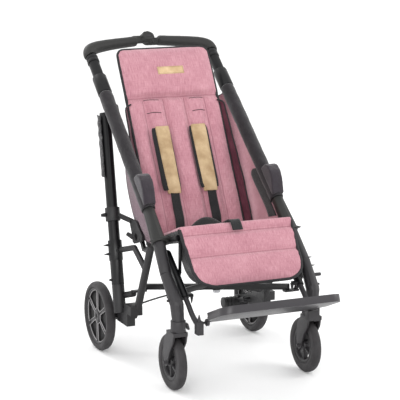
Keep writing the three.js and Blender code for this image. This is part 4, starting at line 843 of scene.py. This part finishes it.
def label_patch(back):
    """A bare tan patch with a stitched edge on the head section."""
    patch = new_box("head_patch")
    patch.data.transform(Matrix.Diagonal((*PATCH_SIZE, 1)))
    settle(patch, "BEVEL", width=0.0055, segments=5, affect="EDGES", limit_method="ANGLE",
           angle_limit=math.radians(60), offset_type="OFFSET")
    way = ACROSS.cross(HEAD_RUN)
    turn = Matrix((ACROSS, HEAD_RUN, way)).transposed().to_4x4()
    centre = PATCH_AT + way * 0.0222
    patch.data.transform(Matrix.Translation(centre) @ turn)
    high = float(np.max(points_of(patch) @ np.array(way)))
    probes = [centre + ACROSS * x for x in (-0.045, -0.02, 0, 0.02, 0.045)]
    face = max(float(spot @ way) for spot in lay_on(probes, back, way, 0.0012))
    patch.data.transform(Matrix.Translation(way * (face - high)))
    coat(patch, patch_hide)
    narrowing(patch)


# The back's slots: height above its foot, and where they start and end across it
SLOT_ROWS = (("upper", 0.5, 0.058, 0.115), ("lower", 0.45, 0.060, 0.112))


def harness_slots(back):
    """The sewn slots of the back that the harness passes through."""
    for row, up, inner, outer in SLOT_ROWS:
        for side, s in SIDES.items():
            line = [back_spot(s * x, up + 0.003 * math.sin((x - inner) * 40), 0.0118)
                    for x in np.linspace(inner, outer, 14)]
            slit = tube(f"{side}_{row}_slot", lay_on(line, back, BACK_OUT, 0.0), 0.0013, slot_shadow)
            narrowing(slit)


def soft_seat():
    back, seat, calf = seat_pads()
    left, right = shoulder_pads()
    pelvic = Pad("pelvic_cushion", "pelvic_pad", SEAT_PATH, (), 0.004, 0.003)
    points = points_of(pelvic.piece)
    points[:, 2] += 0.25 * (points[:, 2] - points[:, 2].min())
    reshape(pelvic.piece, points * np.array((1.28, 1, 1)))
    arms = [Pad(f"{side}_arm_cushion", f"{side}_arm_pad", ARM_PATH, (), 0.004, 0.0035)
            for side in SIDES]
    puff([back, seat, calf, left, right, pelvic, *arms])
    small = (0.03, 0.03, 0.03)
    table = ((back, 0.0012, (0.045, 0.13, 0.13), "seat", "pink_fabric", 0.6, back_cloth),
             (seat, 0.001, (0.05, 0.1, 0.1), "seat", "pink_fabric", 0.6, pink_cloth),
             (calf, 0.0011, (0.09, 0.035, 0.035), "calf", "pink_fabric", 0.7, calf_cloth),
             (left, 0.0005, small, "seat", "tan_leather", 0.7, tan_hide),
             (right, 0.0005, small, "seat", "tan_leather", 0.7, tan_hide),
             (pelvic, 0.0006, small, "seat", "black_webbing", 0.6, web_cloth))
    for pad, crease, sizes, body, slot, fill, cloth in table:
        pad.finish(crease, sizes)
        if pad in (back, seat, calf):
            pad.line_back(cloth)
        else:
            coat(pad.piece, cloth)
        narrowing(pad.piece, pad.node, body)
    for side, pad in zip(SIDES, arms):
        pad.finish(0.0009, small)
        coat(pad.piece, plum_cloth)
        carry(pad.piece, f"chassis_{side}", pad.node)
    narrowing(binding("back_binding", back, 0.0052, free_to=-1.0))
    narrowing(binding("calf_binding", calf, 0.0054, free_to=0.012), body="calf")
    for side, s in SIDES.items():
        shoulder_backing(side)
        back_wing(side, s)
        roll_end(side, s)
    harness()
    harness_slots(back)
    label_patch(back)


# ---------------------------------------------------------------- the side frames' soft goods

# Rows of a side panel: place on the sleeve, place of its free edge, and share of its depth
PANEL_ROWS = [(1.045, 1.03, 0.27), (0.96, 0.95, 0.345), (0.88, 0.88, 0.4), (0.74, 0.772, 0.49),
              (0.57, 0.61, 0.655), (0.41, 0.46, 0.81), (0.27, 0.278, 0.945), (0.155, 0.152, 1),
              (0.05, 0.02, 0.945), (-0.05, -0.08, 0.74), (-0.12, -0.14, 0.6)]
PANEL_RUN, PANEL_DEEP = 0.5, 0.18


def panel_ends(s):
    """The panel's held edge on the sleeve and its free edge, each as a smooth line."""
    held, free = [], []
    for on_tube, at_edge, depth in PANEL_ROWS:
        a = tube_at(s, on_tube * PANEL_RUN) - TUBE_OUT * 0.02205
        held.append((a.x - s * 0.009, a.y, a.z))
        b = tube_at(s, at_edge * PANEL_RUN) - TUBE_OUT * PANEL_DEEP * depth
        free.append((s * (0.213 - 0.03 * min(1, max(0, at_edge - 0.4) / 0.5)), b.y, b.z))
    return line_of(held, 0.03), line_of(free, 0.03)


def side_cloth(side, s):
    """A fabric side between the sleeve and the seat, pink inside and dark outside."""
    held, free = panel_ends(s)
    share = np.linspace(0, 1, 90)
    lines = []
    for line in (held, free):
        at = np.linspace(0, 1, len(line))
        lines.append(np.stack([np.interp(share, at, line[:, k]) for k in range(3)], 1))
    rows = []
    for i, (a, b) in enumerate(zip(*lines)):
        row = []
        for t in np.linspace(0, 1, 41):
            sag = math.sin(math.pi * t) * (0.0035 + 0.0028 * math.sin(i * 0.16 + 5 * t + s))
            row.append(a * (1 - t) + b * t + np.array((s * sag, 0, 0)))
        rows.append(row)
    long = float(np.linalg.norm(np.diff(lines[1], axis=0), axis=1).sum())
    widths = [float(np.linalg.norm(row[-1] - row[0])) for row in rows]
    wide, area = max(widths), sum(widths) / len(rows) * long * 0.93
    panel = grid_piece(f"{side}_side_cloth", rows, (wide, long), 0.0022, panel_cloth, panel_outside)
    for face in panel.data.polygons:
        face.material_index = 0 if face.normal.x * s < -0.3 else 1
    carry(panel, f"chassis_{side}", f"{side}_side_panel")
    sewn_on = [tube(f"{side}_side_hem", lines[1], 0.0024, binding_cloth),
               tube(f"{side}_side_top_hem", np.array(rows[0])[::4], 0.0022, binding_cloth),
               side_strip(side, s, np.array(rows))]
    for piece in sewn_on:
        carry(piece, f"chassis_{side}")


def side_strip(side, s, rows):
    """The dark strip sewn on the inside of a side panel."""
    top, low = np.array((((0.156, 0.631), (0.11, 0.654)), ((0.006, 0.493), (-0.048, 0.508))))
    flat, strip = rows.reshape(-1, 3), []
    for t in np.linspace(0, 1, 60):
        row = []
        for u in np.linspace(0, 1, 9):
            v = 0.5 + (u - 0.5) * (1 - max(0, 1 - t / 0.12) ** 2) ** 0.5
            y, z = (1 - t) * ((1 - v) * top[0] + v * top[1]) + t * ((1 - v) * low[0] + v * low[1])
            near = flat[np.argmin((flat[:, 1] - y) ** 2 + (flat[:, 2] - z) ** 2)]
            row.append((near[0] - s * (0.0018 + 0.0008 * (1 - (2 * u - 1) ** 4)), y, z))
        strip.append(row)
    return grid_piece(f"{side}_side_strip", strip, (0.062, 0.205), 0.0012, dark_lining)


SLEEVE_FLAT = (0.157, 0.524)
SLEEVE_LOW, SLEEVE_HIGH = 0.002, 0.5262


def tube_cloth(side, s):
    """The fabric sleeve of a main tube, with its ripples and its lengthwise seam."""
    rows = []
    for at in np.linspace(SLEEVE_LOW, SLEEVE_HIGH, 150):
        end = math.exp(-min(at - SLEEVE_LOW, SLEEVE_HIGH - at) / 0.004) * 0.0012
        row = []
        for t in np.linspace(0, 2 * math.pi, 57):
            ripple = noise.noise(Vector((math.cos(t) * 1.2, math.sin(t) * 1.2 + s * 5, at * 26)))
            twist = noise.noise(Vector((math.cos(t) * 2.6, math.sin(t) * 2.6, at * 60 + s * 9)))
            seam = 0.0012 * math.exp(-((t - 4.2) / 0.07) ** 2)
            r = 0.0247 + ripple * 0.0011 + twist * 0.0005 + seam - end
            row.append(tube_at(s, at) + ACROSS * (math.cos(t) * r) + TUBE_OUT * (math.sin(t) * r))
        rows.append(row)
    sleeve = grid_piece(f"{side}_tube_cloth", rows, SLEEVE_FLAT, 0.0016, sleeve_cloth, round_tube=True)
    carry(sleeve, f"chassis_{side}", f"{side}_tube_sleeve")


COVER_FLAT = (0.027, 0.218)


def leg_cloth(side, s):
    """The long textured cover on a rear leg."""
    rows = []
    for i, z in enumerate(np.linspace(0.625, 0.832, 70)):
        base = rear_at(s, z)
        row = []
        for t in np.linspace(-1, 1, 15):
            bulge = 0.004 * (1 - t * t) + 0.0012 * math.sin(i * 0.55 + t) * (0.4 + 0.6 * (i > 35))
            row.append((base.x + s * (0.0235 + bulge), base.y + 0.0135 * t, z))
        rows.append(row)
    cover = grid_piece(f"{side}_leg_cloth", rows, COVER_FLAT, 0.0026, cover_cloth)
    carry(cover, f"chassis_{side}", f"{side}_leg_cover")


# ---------------------------------------------------------------- wheels, handle and cable


def new_box(name):
    """A box of one metre about the origin."""
    bpy.ops.object.select_all(action="DESELECT")
    bpy.ops.mesh.primitive_cube_add(size=1, location=(0, 0, 0))
    bpy.context.object.name = name
    return bpy.context.object


def spun(name, profile, centre, finish, steps=72):
    """A ring whose outline, as width and radius, is spun about the X axis."""
    bpy.ops.object.select_all(action="DESELECT")
    bpy.ops.mesh.primitive_circle_add(vertices=len(profile), radius=0.01, location=(0, 0, 0))
    ring = bpy.context.object
    ring.name = name
    for spot, (x, r) in zip(ring.data.vertices, profile):
        spot.co = (centre[0] + x, centre[1], centre[2] + r)
    bpy.ops.object.mode_set(mode="EDIT")
    bpy.ops.mesh.select_all(action="SELECT")
    bpy.ops.mesh.spin(steps=steps, angle=2 * math.pi, center=centre, axis=(1, 0, 0))
    bpy.ops.mesh.select_all(action="SELECT")
    bpy.ops.mesh.remove_doubles(threshold=0.00001)
    bpy.ops.mesh.normals_make_consistent(inside=False)
    bpy.ops.object.mode_set(mode="OBJECT")
    coat(ring, finish)
    return ring


def both_ways(side, middle=()):
    """An outline, as width and radius, that is the same on both sides of its middle."""
    return [*side, *middle, *((-x, r) for x, r in reversed(side))]


def tyre_outline(half, low, high):
    """A tyre's section: straight sides, a round shoulder and a slightly crowned tread."""
    crown, reach = half * 0.62, 1.35
    side = [(-half * 0.86, low), (-half, low + (high - low) * 0.25), (-half, high - crown)]
    return both_ways(side, [(half * math.sin(turn), high - crown + crown * math.cos(turn))
                           for turn in np.linspace(-reach, reach, 15)])


def blended(parts, name):
    """Joins parts into one piece."""
    bpy.ops.object.select_all(action="DESELECT")
    for part in parts:
        part.select_set(True)
    bpy.context.view_layer.objects.active = parts[0]
    bpy.ops.object.join()
    parts[0].name = name
    return parts[0]


def spoke(centre, angle, r_from, r_to, wide, deep):
    """A tapered moulded spoke from the hub to the hoop."""
    bar = new_box("spoke")
    for corner in bar.data.vertices:
        thin, broad, r = (0.8, 1.25, r_to) if corner.co.z > 0 else (1, 0.9, r_from)
        corner.co = (corner.co.x * deep * thin, corner.co.y * wide * broad, r)
    bar.data.transform(Matrix.Translation(centre) @ Matrix.Rotation(angle, 4, "X"))
    settle(bar, "BEVEL", width=0.0022, segments=3)
    coat(bar, wheel_moulding)
    return bar


# The wheels' centres on the right; each is as high as its wheel's radius
CASTER_AT = Vector((0.247, -0.245, 0.095))
REAR_AT = Vector((0.3, 0.287, 0.123))


def caster(side, s):
    """A solid caster: grey tyre on a hoop with six spokes and a capped hub."""
    centre = mirror(CASTER_AT, s)
    tyre = spun("tyre", tyre_outline(0.0145, 0.064, centre.z), centre, tread_rubber)
    hoop = spun("hoop", both_ways([(-0.0118, 0.0655), (-0.0125, 0.054), (-0.0105, 0.0515)]),
                centre, wheel_moulding)
    hub_side = [(-0.0145, 0.0064), (-0.0145, 0.0125), (-0.0125, 0.0165)]
    hub = spun("hub", both_ways(hub_side, [(0, 0.0185)]), centre, wheel_moulding, 40)
    bars = [spoke(centre, i * math.pi / 3, 0.012, 0.0535, 0.0085, 0.02) for i in range(6)]
    wheel = blended([tyre, hoop, hub, *bars], f"{side}_caster_solid")
    carry(wheel, f"caster_wheel_{side}", f"{side}_caster_wheel")


def rear_tyre(side, s):
    centre = mirror(REAR_AT, s)
    tyre = spun(f"{side}_rear_rubber", tyre_outline(0.0165, 0.1012, centre.z), centre, tread_rubber, 96)
    carry(tyre, f"rear_wheel_{side}", f"{side}_rear_tyre")


def rear_rim(side, s):
    """The rear wheel's moulded rim: six slim spokes over a dark web that is painted shade in the
    windows, and pale cords round the windows' edges.
    """
    centre, pitch = mirror(REAR_AT, s), math.pi / 3
    hoop = spun("hoop", both_ways([(-0.0128, 0.1008), (-0.0135, 0.0965), (-0.0095, 0.0932)]),
                centre, wheel_moulding, 96)
    hub = spun("hub", both_ways([(-0.012, 0.0072), (-0.012, 0.0175), (-0.0095, 0.0235)]),
               centre, wheel_moulding, 48)
    # Painted shade: this dark web stands for the shade inside the windows.
    web = spun("web", both_ways([(-0.0018, 0.0215), (-0.0014, 0.0945)]), centre, painted_window_shade, 64)
    parts = [spoke(centre, i * pitch, 0.019, 0.0945, 0.0105, 0.0165) for i in range(6)]
    low, high = 0.028, 0.0925
    tip, foot = 0.0068 / high, 0.0052 / low
    for i in range(6):
        spots = [(low, (i + 1) * pitch - foot), (low, i * pitch + foot)]
        spots += [(high, i * pitch + tip + (pitch - 2 * tip) * k / 6) for k in range(7)]
        for face in (-1, 1):
            line = [centre + Vector((face * 0.0083, math.sin(turn) * r, -math.cos(turn) * r))
                    for r, turn in spots]
            parts.append(tube("edge", line, 0.0013, window_edge, closed=True, sides=8))
    rim = blended([hoop, hub, web, *parts], f"{side}_rear_hoop")
    carry(rim, f"rear_wheel_{side}", f"{side}_rear_rim")


def rubber_handle(side):
    """Half of the push bar's arch, smoothed as its rubber skin is."""
    node, voxel, proud = f"{side}_handle_grip", 0.0028, 0.0028
    skin = pad_from(f"{side}_handle_rubber", node, voxel)
    reshape(skin, points_of(skin) + normals_of(skin) * proud)
    settle(skin, "SMOOTH", factor=0.5, iterations=6)
    settle(skin, "SUBSURF", levels=1, render_levels=1)
    coat(skin, grip_rubber)
    carry(skin, f"grip_{side}", node)


def middle_of(node):
    """The middle of a node's box, and half of the box's size."""
    low, high = (np.array(p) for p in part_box(node))
    return (low + high) / 2, (high - low) / 2


def hub_dome():
    """The creased dome over the push handle's hub, which keeps clear of the release button."""
    middle, half = middle_of("handle_hub")
    button, reach = middle_of("handle_release")
    dome = pad_from("handle_dome", "handle_hub", 0.0013)
    points = points_of(dome)
    aside = np.maximum(0, np.abs(points - button) - reach)
    free = np.clip((np.linalg.norm(aside, axis=1) - 0.0015) / 0.005, 0, 1)[:, None]
    off = points - middle
    turn = np.arctan2(off[:, 2], off[:, 0])
    swell = 0.16 * np.clip(off[:, 2:3] / half[2], 0, 1) + 0.02 * np.cos(turn * 9)[:, None]
    reshape(dome, points + off * free * (swell + np.array((0.18, 0, 0))))
    coat(dome, grip_rubber)
    carry(dome, "grip_left", "handle_hub")


CABLE_HALF = 0.2321


def brake_line():
    """The thin brake cable between the two rear housings."""
    spots = [(x * CABLE_HALF, 0.092, 0.204 + 0.03 * (1 - x * x)) for x in np.linspace(-1, 1, 25)]
    cable = tube("brake_line", spots, 0.003, cable_skin, sides=4)
    carry(cable, "chassis_left", "brake_cable")
    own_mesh(cable)


# ---------------------------------------------------------------- the room


def lamp(name, spot, target, size, power):
    turn = (Vector(target) - Vector(spot)).to_track_quat("-Z", "Y").to_euler()
    bpy.ops.object.light_add(type="AREA", location=spot, rotation=turn)
    light = bpy.context.object
    light.name, light.data.shape, light.data.size = name, "DISK", size
    light.data.energy = power


def room():
    """A pale floor under soft studio light."""
    bpy.ops.mesh.primitive_plane_add(size=40, location=(0, 0, 0))
    floor = bpy.context.object
    floor.name = "studio_floor"
    paper = Finish("floor_paper", Roughness=0.85)
    paper.feed(Base_Color=paper.mix(paper.grain(3, 3), (0.93, 0.93, 0.93), (0.96, 0.96, 0.96)))
    floor.data.materials.append(paper.material)
    world = bpy.data.worlds.new("studio_air")
    world.use_nodes = True
    sky = world.node_tree.nodes["Background"]
    sky.inputs["Color"].default_value, sky.inputs["Strength"].default_value = (1, 1, 1, 1), 1.2
    bpy.context.scene.view_settings.view_transform = "Standard"
    bpy.context.scene.world = world
    lamp("key_lamp", (-2.6, -3.8, 1.9), (0, 0, 0.5), 2.2, 80)
    lamp("side_lamp", (3.2, -1.6, 2.2), (0, 0, 0.6), 2.0, 42)
    lamp("rear_lamp", (-1.0, 3.0, 2.8), (0, 0.2, 0.7), 1.8, 42)


CAMERA_DEGREES = (-24.8, 12.5, 0.27)
CAMERA_AIM, CAMERA_DISTANCE = Vector((0, -0.03, 0.48)), 5.76


def viewpoint():
    """The camera that was fitted to the photograph."""
    turn, lift, roll = (math.radians(x) for x in CAMERA_DEGREES)
    back = Vector((math.sin(turn) * math.cos(lift), -math.cos(turn) * math.cos(lift), math.sin(lift)))
    level = Vector((math.cos(turn), math.sin(turn), 0))
    rise = back.cross(level)
    right = level * math.cos(roll) + rise * math.sin(roll)
    up = rise * math.cos(roll) - level * math.sin(roll)
    bpy.ops.object.camera_add(location=CAMERA_AIM + back * CAMERA_DISTANCE)
    camera = bpy.context.object
    camera.rotation_euler = Matrix((right, up, back)).transposed().to_euler()
    camera.data.lens, camera.data.sensor_width = 151.56, 36
    camera.data.shift_x, camera.data.shift_y = -0.035, 0.07
    camera.data.clip_end = 100
    bpy.context.scene.camera = camera


bpy.ops.object.select_all(action="DESELECT")
viewpoint()
coat_frame()
soft_seat()
for side, s in SIDES.items():
    side_cloth(side, s)
    tube_cloth(side, s)
    caster(side, s)
    rear_tyre(side, s)
    rear_rim(side, s)
    rubber_handle(side)
leg_cloth("left", -1)
hub_dome()
brake_line()
room()
